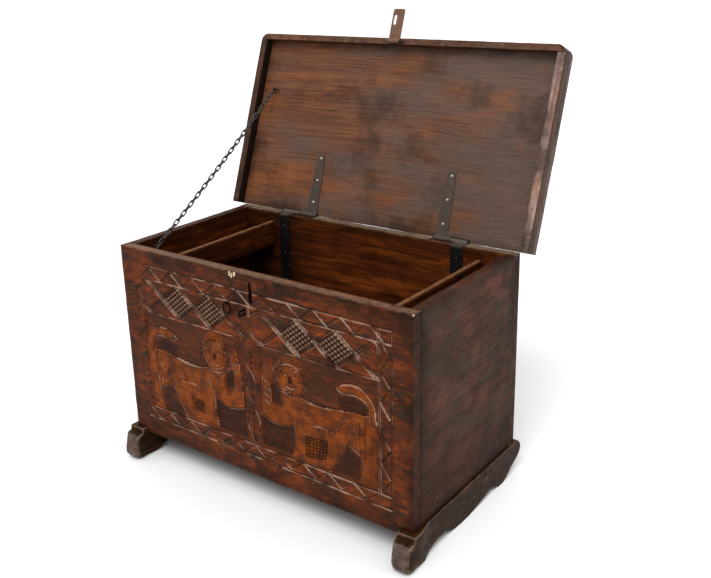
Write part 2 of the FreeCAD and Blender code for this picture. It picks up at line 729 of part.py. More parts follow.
def ring_eye():
    """An eye nail in the front: a short tube round the ring's top bar, on a shank."""
    half = Vector(RING_EYE_LENGTH / 2, 0, 0)
    bore = RING_WIRE + PIN_PLAY
    eye = rod(RING_AXIS - half, RING_AXIS + half, bore + RING_EYE_WALL)
    shank = rod(RING_AXIS, Vector(RING_X, FRONT_FACE + RING_EYE_GRIP, RING_AXIS.z), RING_EYE_SHANK)
    return fuse_all([eye, shank]).cut(rod(RING_AXIS - half, RING_AXIS + half, bore))


def front_ring():
    """A rounded square ring that hangs from its top bar."""
    ring = oval_loop(RING_HEIGHT / 2, RING_WIDTH / 2, RING_WIRE, RING_CORNER)
    ring.translate(RING_AXIS - Vector(0, 0, RING_HEIGHT / 2))
    return ring


# Chain

def chain_lid_bar():
    """The crossbar of the lid's chain staple, as it lies with the lid closed."""
    return Vector(CHAIN_X, BACK_FACE - CHAIN_LID_REACH, LID_UNDER - CHAIN_LID_STANDOFF)


def chain_case_bar():
    return Vector(CHAIN_X, CHAIN_CASE_Y, CHAIN_CASE_Z)


def opened(point):
    """Where a point of the closed lid goes when the lid is open."""
    return FreeCAD.Rotation(Vector(1, 0, 0), -LID_OPEN_ANGLE).multVec(point - HINGE_AXIS) + HINGE_AXIS


def chain_pull():
    """The direction of the chain at its lower end, along the left end board."""
    return (opened(chain_lid_bar()) - chain_case_bar()).normalize()


def lid_chain_staple():
    return staple(chain_lid_bar(), Vector(1, 0, 0), Vector(0, 0, 1), CHAIN_STAPLE_RADIUS, CHAIN_STAPLE_HALF,
                  CHAIN_LID_STANDOFF + CHAIN_STAPLE_GRIP)


def case_chain_staple():
    across = Vector(1, 0, 0).cross(chain_pull())
    reach = CHAIN_X + END_INNER + CHAIN_STAPLE_GRIP
    return staple(chain_case_bar(), across, Vector(-1, 0, 0), CHAIN_STAPLE_RADIUS, CHAIN_STAPLE_HALF, reach)


def chain_point(share):
    """A point on the chain's line, which sags a little between its two staples."""
    low, high = chain_case_bar(), opened(chain_lid_bar())
    droop = 4 * CHAIN_SAG * share * (1 - share)
    return low + (high - low) * share - Vector(0, 0, droop)


def lid_chain():
    """Oval links along the sagging line, each turned a quarter from the last."""
    places = [chain_point(i / CHAIN_STEPS) for i in range(CHAIN_STEPS + 1)]
    run = [0.0]
    for a, b in zip(places, places[1:]):
        run.append(run[-1] + (b - a).Length)
    # The end links reach past the middle of the staple's bar, the others pull on each other
    end_slack = CHAIN_STAPLE_RADIUS + CHAIN_PLAY / 2
    count = 2 * round((run[-1] + 2 * end_slack) / CHAIN_PITCH / 2)
    pitch = (run[-1] + 2 * end_slack) / count
    inner_length = pitch + CHAIN_PLAY
    half_width = CHAIN_LINK_WIDTH / 2 - CHAIN_WIRE
    link = oval_loop(inner_length / 2 + CHAIN_WIRE, half_width, CHAIN_WIRE, half_width)
    links = []
    for index in range(count):
        wanted = pitch * (index + 0.5) - end_slack
        after = next(i for i in range(1, CHAIN_STEPS + 1) if run[i] >= wanted)
        before = after - 1
        part = (wanted - run[before]) / (run[after] - run[before])
        centre = places[before] + (places[after] - places[before]) * part
        along = (places[after] - places[before]).normalize()
        face = Vector(1, 0, 0) if index % 2 else Vector(1, 0, 0).cross(along)
        turn = FreeCAD.Rotation(face.cross(along).negative(), face, along, "ZYX")
        placed = link.copy()
        placed.Placement = FreeCAD.Placement(centre, turn)
        links.append(placed)
    return links


# Assembly

def drilled(shape, fasteners):
    """The shape with room for the fasteners that pass through it."""
    near = [f for f in fasteners if f.BoundBox.intersect(shape.BoundBox)]
    return shape.cut(near) if near else shape


def case_nodes():
    tills = {
        "left_till_side": till_side(-1),
        "left_till_floor": till_floor(-1),
        "right_till_side": till_side(1),
        "right_till_floor": till_floor(1),
    }
    iron = {
        "back_strap_left": back_strap("left"),
        "back_strap_right": back_strap("right"),
        "lock_staple": lock_staple(),
        "ring_eye": ring_eye(),
        "case_chain_staple": case_chain_staple(),
    }
    corner, floor, strap, dowels = corner_pegs(), floor_nails(), back_strap_nails(), runner_dowels()
    inside = corner + floor + strap + dowels + list(tills.values())
    inside += [iron["lock_staple"], iron["ring_eye"], iron["case_chain_staple"]]
    boards = {
        "front_board": front_board(),
        "back_board": back_board(),
        "left_end_board": end_board(-1),
        "right_end_board": end_board(1),
        "left_runner": runner(-1),
        "right_runner": runner(1),
    }
    for index in range(FLOOR_PLANKS):
        boards["bottom_plank_%d" % (index + 1)] = bottom_plank(index)
    nodes = {name: drilled(board, inside) for name, board in boards.items()}
    for name in ("back_strap_left", "back_strap_right"):
        iron[name] = drilled(iron[name], strap)
    nodes.update(tills)
    nodes.update(iron)
    for name in HINGES:
        nodes["hinge_pin_" + name] = hinge_pin(name)
    nodes["corner_pegs"] = Part.makeCompound(corner)
    nodes["floor_nails"] = Part.makeCompound(floor)
    nodes["back_strap_nails"] = Part.makeCompound(strap)
    nodes["runner_dowels"] = Part.makeCompound(dowels)
    return nodes


def lid_nodes():
    """The lid's pieces, built closed and then turned open about the hinge pins."""
    lips, strap = lip_nails(), lid_strap_nails()
    inside = lips + strap + [hasp_staple(), lid_chain_staple()]
    nodes = {
        "lid_board": drilled(lid_board(), inside),
        "front_lip": drilled(front_lip(), inside),
        "left_lip": drilled(side_lip(-1), inside),
        "right_lip": drilled(side_lip(1), inside),
        "lid_strap_left": drilled(lid_strap("left"), strap),
        "lid_strap_right": drilled(lid_strap("right"), strap),
        "lid_strap_nails": Part.makeCompound(strap),
        "lip_nails": Part.makeCompound(lips),
        "hasp_staple": hasp_staple(),
        "lid_chain_staple": lid_chain_staple(),
        "hasp": hasp(),
    }
    for shape in nodes.values():
        shape.rotate(HINGE_AXIS, Vector(1, 0, 0), -LID_OPEN_ANGLE)
    return nodes


def all_nodes():
    nodes = case_nodes()
    nodes.update(lid_nodes())
    nodes["front_ring"] = front_ring()
    nodes["lid_chain"] = Part.makeCompound(lid_chain())
    return nodes


def box_middle(nodes):
    """Where the origin goes: the middle of the open chest's box, on the floor."""
    box = Part.makeCompound(list(nodes.values())).optimalBoundingBox()
    return Vector(box.Center.x, box.Center.y, 0)


def main():
    nodes = all_nodes()
    shift = box_middle(nodes).negative()
    os.makedirs("parts", exist_ok=True)
    for name, shape in nodes.items():
        shape.translate(shift)
        shape.exportStep("parts/%s.step" % name)
    print("origin shift", shift)
    for label, point in (("hinge", HINGE_AXIS), ("hasp", opened(HASP_AXIS)), ("ring", RING_AXIS)):
        print(label, "axis through", point + shift)


main()
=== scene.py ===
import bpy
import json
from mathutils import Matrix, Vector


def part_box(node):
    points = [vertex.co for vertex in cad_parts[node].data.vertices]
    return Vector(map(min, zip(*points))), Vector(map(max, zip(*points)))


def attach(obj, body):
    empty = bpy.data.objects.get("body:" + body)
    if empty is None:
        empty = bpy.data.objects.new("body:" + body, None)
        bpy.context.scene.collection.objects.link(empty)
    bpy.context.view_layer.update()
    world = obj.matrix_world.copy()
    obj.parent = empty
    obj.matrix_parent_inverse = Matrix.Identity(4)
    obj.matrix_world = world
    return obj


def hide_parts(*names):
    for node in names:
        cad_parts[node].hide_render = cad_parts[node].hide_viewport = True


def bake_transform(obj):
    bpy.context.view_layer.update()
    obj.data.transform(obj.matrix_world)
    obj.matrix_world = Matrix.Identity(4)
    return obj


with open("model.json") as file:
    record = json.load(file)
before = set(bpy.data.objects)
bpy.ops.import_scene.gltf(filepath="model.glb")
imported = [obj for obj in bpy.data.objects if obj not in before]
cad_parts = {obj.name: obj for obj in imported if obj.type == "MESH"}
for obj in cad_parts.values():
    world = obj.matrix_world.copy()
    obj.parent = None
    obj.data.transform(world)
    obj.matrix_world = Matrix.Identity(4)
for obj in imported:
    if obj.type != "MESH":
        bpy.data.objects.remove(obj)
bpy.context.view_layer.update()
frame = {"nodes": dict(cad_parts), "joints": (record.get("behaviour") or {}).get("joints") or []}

import json
import math

import bpy
import numpy as np
from mathutils import Matrix, Vector, noise

MM = 0.001

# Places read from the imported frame, in metres
FRONT_LOW, FRONT_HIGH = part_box("front_board")
BACK_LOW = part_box("back_board")[0]
RIM = FRONT_HIGH.z
LID_JOINT = next(joint for joint in frame["joints"] if joint["name"] == "lid_hinge")
HINGE = Vector(LID_JOINT["pos_m"])
OPEN_ANGLE = math.radians(LID_JOINT["range_deg"][1])

# The lid turned back onto the rim, and turned open again
CLOSE_LID = Matrix.Translation(HINGE) @ Matrix.Rotation(OPEN_ANGLE, 4, "X") @ Matrix.Translation(-HINGE)
OPEN_LID = CLOSE_LID.inverted()

# Wear of the boards
BOARD_ROUND = 2.5 * MM
BOARD_CELL = 12 * MM
FLOOR_CELL = 25 * MM
BOARD_WAVE = 1.6 * MM
WAVE_LENGTH = 140 * MM
EDGE_BITE = 1.6 * MM
BITE_LENGTH = 25 * MM
EDGE_REACH = 6 * MM
BORDER_REACH = 45 * MM
RIM_REACH = 3.6 * MM
RIM_RUN = 3 * MM
FACE_MARGIN = 4 * MM
LID_CORNER = 26 * MM
CORNER_CUTS = 7

# Where the painted shade inside the chest, towards the left end, begins and where it is full, across from the
# middle
LEFT_SHADE_START = -130 * MM
LEFT_SHADE_FULL = -300 * MM

# Rooms for the hinges in the boards
BARREL_ROOM = 8.2 * MM
ROOM_PLAY = 1 * MM
ROOM_DEEP = 4 * MM
ROOM_OVER = 10 * MM

# Carved front: sizes in millimetres, across from its left edge and down from its rim
FINE_STEP = 2.35
COARSE_STEP = 6.0
FIELD_LEFT, FIELD_RIGHT = 38.0, 904.0
FIELD_FOOT = 520.0
FRONT_WIDE = (FRONT_HIGH.x - FRONT_LOW.x) / MM
FRONT_TALL = (FRONT_HIGH.z - FRONT_LOW.z) / MM
FRONT_SAG_LEFT, FRONT_SAG_RIGHT = 11.0, 15.0
SAG_START, SAG_RUN = 39.0, 6.0
FRONT_ROUND = 2.8
FRONT_EDGE_REACH = 5.0
FRONT_BORDER_REACH = 60.0
GROUND_DEEP = 3.6
GAP_DEEP = 6.0
CHECK_DEEP = 3.6
CHIP_DEEP = 4.0
SLOT_DEEP = 18.0
MIDDLE = 465.0
NAIL_HALF = 4.0

# Width and depth of each kind of cut, in millimetres
FRAME_CUT = (6.0, 3.2)
TOP_ZIGZAG_CUT = (6.5, 3.2)
LEFT_ZIGZAG_CUT = (5.5, 2.4)
FIELD_CUT = (5.0, 2.4)
UPRIGHT_CUT = (4.5, 1.8)
FAINT_CUT = (4.5, 1.0)
LOZENGE_CUT = (7.0, 3.2)
HEAD_CUT = (5.0, 1.8)
MANE_CUT = (4.5, 1.6)
TICK_CUT = (4.0, 1.4)
EYE_CUT = (7.0, 1.8)
MOUTH_CUT = (4.5, 1.4)
STEM_CUT = (4.5, 1.6)
LEAF_CUT = (5.5, 2.4)
VEIN_CUT = (4.0, 1.0)
SCAR_CUT = (8.0, 3.2)

# The side of a cut that gets the painted highlight faces to the right and up, towards the light; the other
# side gets painted shade
LIGHT_SIDE = np.array((0.55, -0.83))

# Chain
LINK_COUNT = 36
LINK_WIRE = 2.1 * MM
LINK_PLAY = 0.4 * MM
LINK_WIDE = 14.5 * MM
CHAIN_SAG = 9.0 * MM
CHAIN_STEPS = 400
CHAIN_TWIST = math.radians(-17)
TWIST_LINKS = 2
STAPLE_WIRE = 2.0 * MM

# Runners and the toes ahead of the front board
RUNNER_CELL = 2.6 * MM
RUNNER_WAVE = 2.0 * MM
RUNNER_WAVE_LENGTH = 50 * MM
RUNNER_WEAR = 1.6 * MM
TOE_STEP, TOE_RUN = 14 * MM, 12 * MM
TOE_LEAN = 9 * MM
LEAN_START, LEAN_RUN = 32 * MM, 42 * MM
SOLE_ROUND = 24 * MM
SOLE_NARROW = 0.25
SOLE_BACK = 10 * MM
FOOT_RUN = 40 * MM
TOE_RUB_AND_HIGHLIGHT = 0.42

# Forged iron
STRAP_CELL = 1.2 * MM
HASP_CELL = 0.9 * MM
BLOW_DEEP = 0.5 * MM
BLOW_LENGTH = 12 * MM

# Camera: fitted to the photograph, in metres and pixels
PHOTO_WIDE = 711
FOCAL_PIXELS = 920.8
SENSOR_WIDE_MM = 36
CAMERA_PLACE = Vector((1.4633, -1.9065, 1.3852))
CAMERA_YAW = -0.6486
CAMERA_PITCH = 0.3103
CAMERA_ROLL = 0.0261
CENTRE_OFFSET = (-18.3, -38.3)


# Helpers

def linear(code):
    """An sRGB hex colour as linear red, green, blue and alpha."""
    values = [int(code[i:i + 2], 16) / 255 for i in (1, 3, 5)]
    return [v / 12.92 if v <= 0.04045 else ((v + 0.055) / 1.055) ** 2.4 for v in values] + [1.0]


def add(tree, kind, inputs=None, output=0, **settings):
    """Add a node with its settings, values and links, and give one of its outputs."""
    node = tree.nodes.new(kind)
    for name, value in settings.items():
        setattr(node, name, value)
    for place, value in (inputs or {}).items():
        if isinstance(value, bpy.types.NodeSocket):
            tree.links.new(value, node.inputs[place])
        else:
            node.inputs[place].default_value = value
    return node.outputs[output] if len(node.outputs) else node


def only(piece):
    """Make one object the selected and active one."""
    bpy.ops.object.select_all(action="DESELECT")
    piece.select_set(True)
    bpy.context.view_layer.objects.active = piece


def edit(piece):
    """Start editing one object with all of its mesh selected."""
    only(piece)
    bpy.ops.object.mode_set(mode="EDIT")
    bpy.ops.mesh.select_mode(type="VERT")
    bpy.ops.mesh.select_all(action="SELECT")


def done():
    """Stop editing."""
    bpy.ops.object.mode_set(mode="OBJECT")


def modify(piece, kind, **settings):
    """Add a modifier with its settings and apply it."""
    only(piece)
    modifier = piece.modifiers.new(kind.title(), kind)
    for name, value in settings.items():
        setattr(modifier, name, value)
    bpy.ops.object.modifier_apply(modifier=modifier.name)


def clouds(name, size, depth=2):
    """A cloudy texture that moves points, with clouds of one size."""
    texture = bpy.data.textures.new(name, "CLOUDS")
    texture.noise_scale = size
    texture.noise_depth = depth
    return texture


def rows_of(items, name):
    """One vector for each point or face of a mesh."""
    values = np.empty(len(items) * 3)
    items.foreach_get(name, values)
    return values.reshape(-1, 3)


def points_of(piece):
    return rows_of(piece.data.vertices, "co")


def move_points(piece, points):
    piece.data.vertices.foreach_set("co", points.ravel())
    piece.data.update()


def keep_inside(piece, low, high):
    """Bring the points of a piece back into a box."""
    move_points(piece, np.clip(points_of(piece), np.array(low), np.array(high)))


def mark(piece, name, values):
    """Store one number per point, for the materials to read."""
    attribute = piece.data.attributes.get(name) or piece.data.attributes.new(name, "FLOAT", "POINT")
    attribute.data.foreach_set("value", np.asarray(values, np.float32))


def mark_wear(piece, rounds, reach):
    """Mark how far each point stands out of what is round it: edges above zero, hollows below."""
    mesh = piece.data
    points = points_of(piece)
    ends = np.empty(len(mesh.edges) * 2, int)
    mesh.edges.foreach_get("vertices", ends)
    ends = ends.reshape(-1, 2)
    count = len(points)
    here = np.concatenate([ends[:, 0], ends[:, 1]])
    there = np.concatenate([ends[:, 1], ends[:, 0]])
    degree = np.maximum(np.bincount(here, minlength=count), 1)
    level = points.copy()
    for _ in range(rounds):
        level = np.stack([np.bincount(here, level[there, i], count) / degree for i in range(3)], 1)
    stand = ((points - level) * rows_of(mesh.vertices, "normal")).sum(1) / reach
    mark(piece, "wear", np.clip(stand, -1, 1))


def cover(piece, materials, body, slot, *nodes):
    """Finish a piece: its materials, the body that it rides on, and the nodes that it stands for."""
    piece.data.materials.clear()
    for material in materials:
        piece.data.materials.append(material)
    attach(piece, body)
    if nodes:
        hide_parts(*nodes)
    return piece


def rim_of(piece, level):
    """How far each point belongs to the top edge of a board."""
    return np.clip((points_of(piece)[:, 2] - level + RIM_REACH) / RIM_RUN, 0, 1)


def line_inside(piece, axis, level, side):
    """Give a piece's second material to its faces beyond a level, which look into the chest."""
    faces = piece.data.polygons
    inner = (rows_of(faces, "center")[:, axis] - level) * side > 0
    faces.foreach_set("material_index", inner.astype(np.int32))


def line_under(piece):
    """Give a lid piece's second material to its faces that look down when the lid is closed."""
    faces = piece.data.polygons
    down = np.array(OPEN_LID.to_3x3() @ Vector((0, 0, -1)))
    under = rows_of(faces, "normal") @ down > 0.8
    faces.foreach_set("material_index", under.astype(np.int32))


# Materials

def start_material(name):
    """A new material without nodes, and its tree."""
    material = bpy.data.materials.new(name)
    material.use_nodes = True
    material.node_tree.nodes.clear()
    return material, material.node_tree


def wood_grain(tree, along, sizes, turn=0.0):
    """Noise drawn out along the grain of a hand-sawn board: millimetres across and along for each mark."""
    place = add(tree, "ShaderNodeTexCoord", output="Object")
    if turn:
        place = add(tree, "ShaderNodeMapping", {"Vector": place, "Rotation": (turn, 0, 0)})
    # The grain sways by about 12 mm within 400 mm
    sway = add(tree, "ShaderNodeTexNoise", {"Vector": place, "Scale": 1 / (400 * MM), "Detail": 1.0}, "Color")
    swayed = add(tree, "ShaderNodeVectorMath", {0: sway, 1: [24 * MM] * 3, 2: place},
                 operation="MULTIPLY_ADD")
    grain = {"place": place}
    for kind, (across, length) in sizes.items():
        scale = [1 / (length * MM) if axis == along else 1 / (across * MM) for axis in "XYZ"]
        drawn = add(tree, "ShaderNodeMapping", {"Vector": swayed, "Scale": scale})
        grain[kind] = add(tree, "ShaderNodeTexNoise",
                          {"Vector": drawn, "Scale": 1.0, "Detail": 4.0, "Roughness": 0.6})
    # Dents and rubbed spots of about 18 mm, nicks and pores of about 5 mm
    for kind, size, detail, rough in (("scuff", 18, 5.0, 0.7), ("nicks", 5, 3.0, 0.6)):
        grain[kind] = add(tree, "ShaderNodeTexNoise",
                          {"Vector": place, "Scale": 1 / (size * MM), "Detail": detail, "Roughness": rough})
    for name in ("wear", "border", "rubbed"):
        grain[name] = add(tree, "ShaderNodeAttribute", output="Fac", attribute_name=name)
    return grain


def lay(tree, colour, layers):
    """Lay colours over one another: each shows where its mark goes from low to high, up to its strength."""
    for value, low, high, strength, over in layers:
        share = add(tree, "ShaderNodeMapRange",
                    {"Value": value, "From Min": low, "From Max": high, "To Max": strength})
        colour = add(tree, "ShaderNodeMix", {0: share, 6: colour, 7: linear(over)}, 2, data_type="RGBA")
    return colour


def threads(tree, grain, colour, dark, light):
    """Darken and lighten a colour with the wood's fibres."""
    fibre = add(tree, "ShaderNodeMapRange", {"Value": grain["fibres"], "From Min": 0.3, "From Max": 0.7,
                                             "To Min": dark, "To Max": light})
    return add(tree, "ShaderNodeMix", {0: 1.0, 6: colour, 7: fibre}, 2,
               data_type="RGBA", blend_type="MULTIPLY")


def age(tree, grain, colour, grime, pale, rim_pale=None, edge_start=1.45):
    """Dirt in clouds and along the borders, and pale wood where edges and rims are rubbed; on the runners'
    toes the rubbed pale is partly a painted highlight.
    """
    dirt = add(tree, "ShaderNodeMath", {0: grain["border"], 1: 0.22, 2: grain["clouds"]},
               operation="MULTIPLY_ADD")
    edge = add(tree, "ShaderNodeMath", {0: grain["scuff"], 1: 1.6, 2: grain["wear"]},
               operation="MULTIPLY_ADD")
    rim = add(tree, "ShaderNodeMath", {0: grain["scuff"], 1: grain["rubbed"]}, operation="MULTIPLY")
    return lay(tree, colour, [
        (dirt, 0.53, 0.8, 0.75, grime),
        (edge, edge_start, edge_start + 1.0, 0.65, pale),
        (rim, 0.1, 0.6, 0.9, rim_pale or pale),
    ])


def wood_surface(tree, grain, colour, shine, gloss):
    """Old wax over open grain: dull with rubbed spots, and raised along the grain."""
    rough = add(tree, "ShaderNodeMapRange", {"Value": grain["scuff"], "From Min": 0.3, "From Max": 0.7,
                                             "To Min": shine - 0.08, "To Max": shine + 0.14})
    ridge = add(tree, "ShaderNodeMath", {0: grain["rings"], 1: 0.6, 2: grain["fibres"]},
                operation="MULTIPLY_ADD")
    bump = add(tree, "ShaderNodeBump", {"Height": ridge, "Distance": 1.0 * MM, "Strength": 0.6})
    surface = add(tree, "ShaderNodeBsdfPrincipled",
                  {"Base Color": colour, "Roughness": rough, "Normal": bump, "IOR": 1.5,
                   "Specular IOR Level": gloss})
    add(tree, "ShaderNodeOutputMaterial", {"Surface": surface})


def carved_pine():
    """The waxed front: mottled red, brown and olive, with the lions stained orange, cuts with painted shade
    on one side and a painted highlight on the other, and a rubbed rim."""
    material, tree = start_material("waxed_carved_pine")
    grain = wood_grain(tree, "X", {"rings": (5, 400), "fibres": (2.4, 45), "patches": (15, 42),
                                   "stains": (26, 55), "blush": (120, 150), "clouds": (110, 110)})
    marks = {name: add(tree, "ShaderNodeAttribute", output="Fac", attribute_name=name)
             for name in ("figure", "ground", "dark", "pale", "raw")}
    # The lions' stain comes in blotches of about 30 mm
    mottle = add(tree, "ShaderNodeTexNoise",
                 {"Vector": grain["place"], "Scale": 1 / (30 * MM), "Detail": 5.0, "Roughness": 0.7})
    blotch = add(tree, "ShaderNodeMapRange", {"Value": mottle, "From Min": 0.4, "From Max": 0.6})
    stain = add(tree, "ShaderNodeMath", {0: marks["figure"], 1: blotch}, operation="MULTIPLY")
    colour = lay(tree, linear("#3A1D11"), [
        (grain["rings"], 0.38, 0.62, 1.0, "#522B18"),
        (grain["blush"], 0.42, 0.64, 0.55, "#713414"),
        (grain["patches"], 0.5, 0.66, 0.75, "#823B14"),
        (grain["stains"], 0.5, 0.65, 0.85, "#2E241A"),
        (marks["ground"], 0.1, 0.9, 0.55, "#3E2316"),
        (marks["figure"], 0.1, 0.9, 0.5, "#5E2B0E"),
        (stain, 0.1, 0.9, 0.72, "#8A430F"),
        (grain["scuff"], 0.58, 0.72, 0.6, "#1C100A"),
        (grain["nicks"], 0.6, 0.72, 0.6, "#1C100A"),
    ])
    colour = threads(tree, grain, colour, 0.62, 1.14)
    colour = age(tree, grain, colour, "#170C07", "#8A705E", "#94725A")
    # Dark: painted shade in the cuts, the deep gaps, under the tails and in the lock slot, with old dirt and
    # dark marks elsewhere; pale: painted highlight on the lit sides of the cuts; raw: fresh chips
    colour = lay(tree, colour, [
        (marks["dark"], 0.1, 0.8, 0.85, "#150A06"),
        (marks["dark"], 0.9, 1.0, 1.0, "#060302"),
        (marks["pale"], 0.2, 0.9, 0.62, "#B2917C"),
        (marks["raw"], 0.2, 0.7, 0.9, "#DCC6A4"),
    ])
    wood_surface(tree, grain, colour, 0.44, 0.05)
    return material


def end_pine(name, along):
    """Outside the ends and the back: dull dark brown, grey and reddish stains, long dark rings, darker and
    redder towards the floor, with dirty edges."""
    material, tree = start_material(name)
    grain = wood_grain(tree, along, {"rings": (8, 600), "fibres": (2.6, 80), "patches": (60, 130),
                                     "stains": (50, 200), "clouds": (140, 140)})
    height = add(tree, "ShaderNodeSeparateXYZ", {0: grain["place"]}, "Z")
    colour = lay(tree, linear("#2B1A12"), [
        (grain["rings"], 0.34, 0.6, 1.0, "#4A2E20"),
        (grain["patches"], 0.48, 0.64, 0.75, "#60382A"),
        (grain["stains"], 0.5, 0.64, 0.6, "#463A2F"),
        (height, RIM - 300 * MM, FRONT_LOW.z, 0.8, "#301509"),
        (grain["nicks"], 0.62, 0.74, 0.5, "#140B07"),
    ])
    colour = threads(tree, grain, colour, 0.62, 1.16)
    colour = age(tree, grain, colour, "#120A06", "#6E5848", "#887A64")
    wood_surface(tree, grain, colour, 0.46, 0.04)
    return material


def inner_pine(name, along, deep, body, warm, left_shade):
    """The inside: bare pine gone orange brown with age, unwaxed, with dark rings and fibres, and as much
    black painted shade towards the left end as is asked for."""
    material, tree = start_material(name)
    grain = wood_grain(tree, along, {"rings": (6, 800), "fibres": (2.4, 70), "patches": (22, 160),
                                     "clouds": (120, 120)})
    across = add(tree, "ShaderNodeSeparateXYZ", {0: grain["place"]}, "X")
    colour = lay(tree, linear(deep), [
        (grain["rings"], 0.36, 0.64, 1.0, body),
        (grain["patches"], 0.5, 0.66, 0.85, warm),
        # Painted shade, nearly black, towards the left end
        (across, LEFT_SHADE_START, LEFT_SHADE_FULL, left_shade, "#0A0402"),
    ])
    colour = threads(tree, grain, colour, 0.68, 1.12)
    colour = age(tree, grain, colour, "#140903", "#7E583A", "#80583C")
    wood_surface(tree, grain, colour, 0.6, 0.03)
    return material


def lid_pine():
    """Under the lid: brown with fine dark rings, orange streaks in places, a grey painted sheen that grows to
    the right, and pale flecks near the chain."""
    material, tree = start_material("weathered_lid_pine")
    grain = wood_grain(tree, "X", {"rings": (4, 700), "lines": (2.6, 600), "fibres": (1.9, 90),
                                   "patches": (7, 160), "blush": (90, 260), "stains": (100, 240),
                                   "clouds": (150, 150)}, OPEN_ANGLE)
    sideways = add(tree, "ShaderNodeSeparateXYZ", {0: grain["place"]}, "X")
    # Painted sheen: grey that grows towards the right, broken up by the stains
    grey_sheen = add(tree, "ShaderNodeMath", {0: sideways, 1: 0.32, 2: grain["stains"]},
               operation="MULTIPLY_ADD")
    warm = add(tree, "ShaderNodeMath", {0: grain["blush"], 1: 2.2, 2: grain["patches"]},
               operation="MULTIPLY_ADD")
    by_chain = add(tree, "ShaderNodeMapRange",
                   {"Value": sideways, "From Min": -300 * MM, "From Max": -420 * MM})
    flecks = add(tree, "ShaderNodeMath", {0: grain["nicks"], 1: by_chain}, operation="MULTIPLY")
    colour = lay(tree, linear("#4A2C1E"), [
        (grain["rings"], 0.34, 0.62, 1.0, "#6A4530"),
        (warm, 1.56, 1.98, 0.62, "#884E28"),
        (grain["lines"], 0.58, 0.68, 0.65, "#2C1910"),
        (grey_sheen, 0.42, 0.64, 0.8, "#544842"),
        (grain["clouds"], 0.52, 0.66, 0.3, "#2C1C14"),
        (grain["nicks"], 0.62, 0.74, 0.45, "#2A1810"),
        (flecks, 0.65, 0.71, 0.6, "#B8A078"),
    ])
    colour = threads(tree, grain, colour, 0.62, 1.2)
    colour = age(tree, grain, colour, "#261812", "#9C8676")
    wood_surface(tree, grain, colour, 0.46, 0.1)
    return material


def lip_pine(name, along, deep, body, warm, pale):
    """The lid's lips: darker or paler than the lid, streaked along their length, with rubbed edges."""
    material, tree = start_material(name)
    grain = wood_grain(tree, along, {"rings": (5, 500), "fibres": (2.2, 60), "patches": (9, 130),
                                     "clouds": (90, 90)}, OPEN_ANGLE)
    colour = lay(tree, linear(deep), [
        (grain["rings"], 0.36, 0.62, 1.0, body),
        (grain["patches"], 0.5, 0.66, 0.8, warm),
    ])
    colour = threads(tree, grain, colour, 0.7, 1.14)
    colour = age(tree, grain, colour, "#1C120D", pale)
    wood_surface(tree, grain, colour, 0.48, 0.12)
    return material


def runner_pine():
    """The runners: dark and greasy, rough with gouges, their arrises rubbed bright."""
    material, tree = start_material("dark_runner_pine")
    grain = wood_grain(tree, "Y", {"rings": (7, 220), "fibres": (3, 60), "patches": (18, 70),
                                   "clouds": (60, 60)})
    colour = lay(tree, linear("#190F09"), [
        (grain["rings"], 0.36, 0.62, 1.0, "#34200F"),
        (grain["patches"], 0.5, 0.66, 0.8, "#4B2E16"),
        (grain["scuff"], 0.54, 0.68, 0.7, "#0E0805"),
        (grain["nicks"], 0.58, 0.7, 0.6, "#0E0805"),
    ])
    colour = threads(tree, grain, colour, 0.42, 1.3)
    colour = age(tree, grain, colour, "#0C0705", "#8C7766", "#94807A", edge_start=1.3)
    wood_surface(tree, grain, colour, 0.4, 0.04)
    return material


def forged_iron(name, dark, rust, rusting, shine, metal=0.7, rubbed_above=None):
    """Hand-forged iron: uneven from the hammer, dull, with rust in patches of about 16 mm, and rubbed grey
    above a height where one is given."""
    material, tree = start_material(name)
    place = add(tree, "ShaderNodeTexCoord", output="Object")
    patches = add(tree, "ShaderNodeTexNoise",
                  {"Vector": place, "Scale": 1 / (16 * MM), "Detail": 5.0, "Roughness": 0.7})
    rusted = add(tree, "ShaderNodeMapRange", {"Value": patches, "From Min": 0.62 - rusting * 0.4,
                                              "From Max": 0.78 - rusting * 0.3, "To Max": 0.9})
    colour = lay(tree, linear(dark), [(rusted, 0.0, 1.0, 1.0, rust)])
    if rubbed_above:
        height = add(tree, "ShaderNodeSeparateXYZ", {0: place}, "Z")
        colour = lay(tree, colour, [(height, rubbed_above - 3 * MM, rubbed_above, 0.6, "#5A4E44")])
    metallic = add(tree, "ShaderNodeMapRange", {"Value": rusted, "To Min": metal, "To Max": 0.1})
    rough = add(tree, "ShaderNodeMapRange", {"Value": rusted, "To Min": shine, "To Max": 0.85})
    blows = add(tree, "ShaderNodeTexVoronoi", {"Vector": place, "Scale": 1 / (7 * MM)},
                feature="SMOOTH_F1")
    bump = add(tree, "ShaderNodeBump", {"Height": blows, "Distance": 0.8 * MM, "Strength": 0.5})
    surface = add(tree, "ShaderNodeBsdfPrincipled",
                  {"Base Color": colour, "Metallic": metallic, "Roughness": rough, "Normal": bump})
    add(tree, "ShaderNodeOutputMaterial", {"Surface": surface})
    return material


# Boards

def box_piece(name, low, high):
    """A block between two corners, with its place in its mesh."""
    bpy.ops.mesh.primitive_cube_add(size=1)
    piece = bpy.context.object
    piece.name = piece.data.name = name
    piece.scale = high - low
    piece.location = (low + high) / 2
    bpy.ops.object.transform_apply(location=True, rotation=True, scale=True)
    return piece


def slice_up(piece, cell):
    """Cut a piece into an even grid with planes across X, Y and Z."""
    points = points_of(piece)
    low, high = points.min(0), points.max(0)
    edit(piece)
    for axis in range(3):
        count = int((high[axis] - low[axis]) / cell)
        normal = [0, 0, 0]
        normal[axis] = 1
        for i in range(1, count):
            spot = [0, 0, 0]
            spot[axis] = low[axis] + (high[axis] - low[axis]) * i / count
            bpy.ops.mesh.select_all(action="SELECT")
            bpy.ops.mesh.bisect(plane_co=spot, plane_no=normal)
    done()


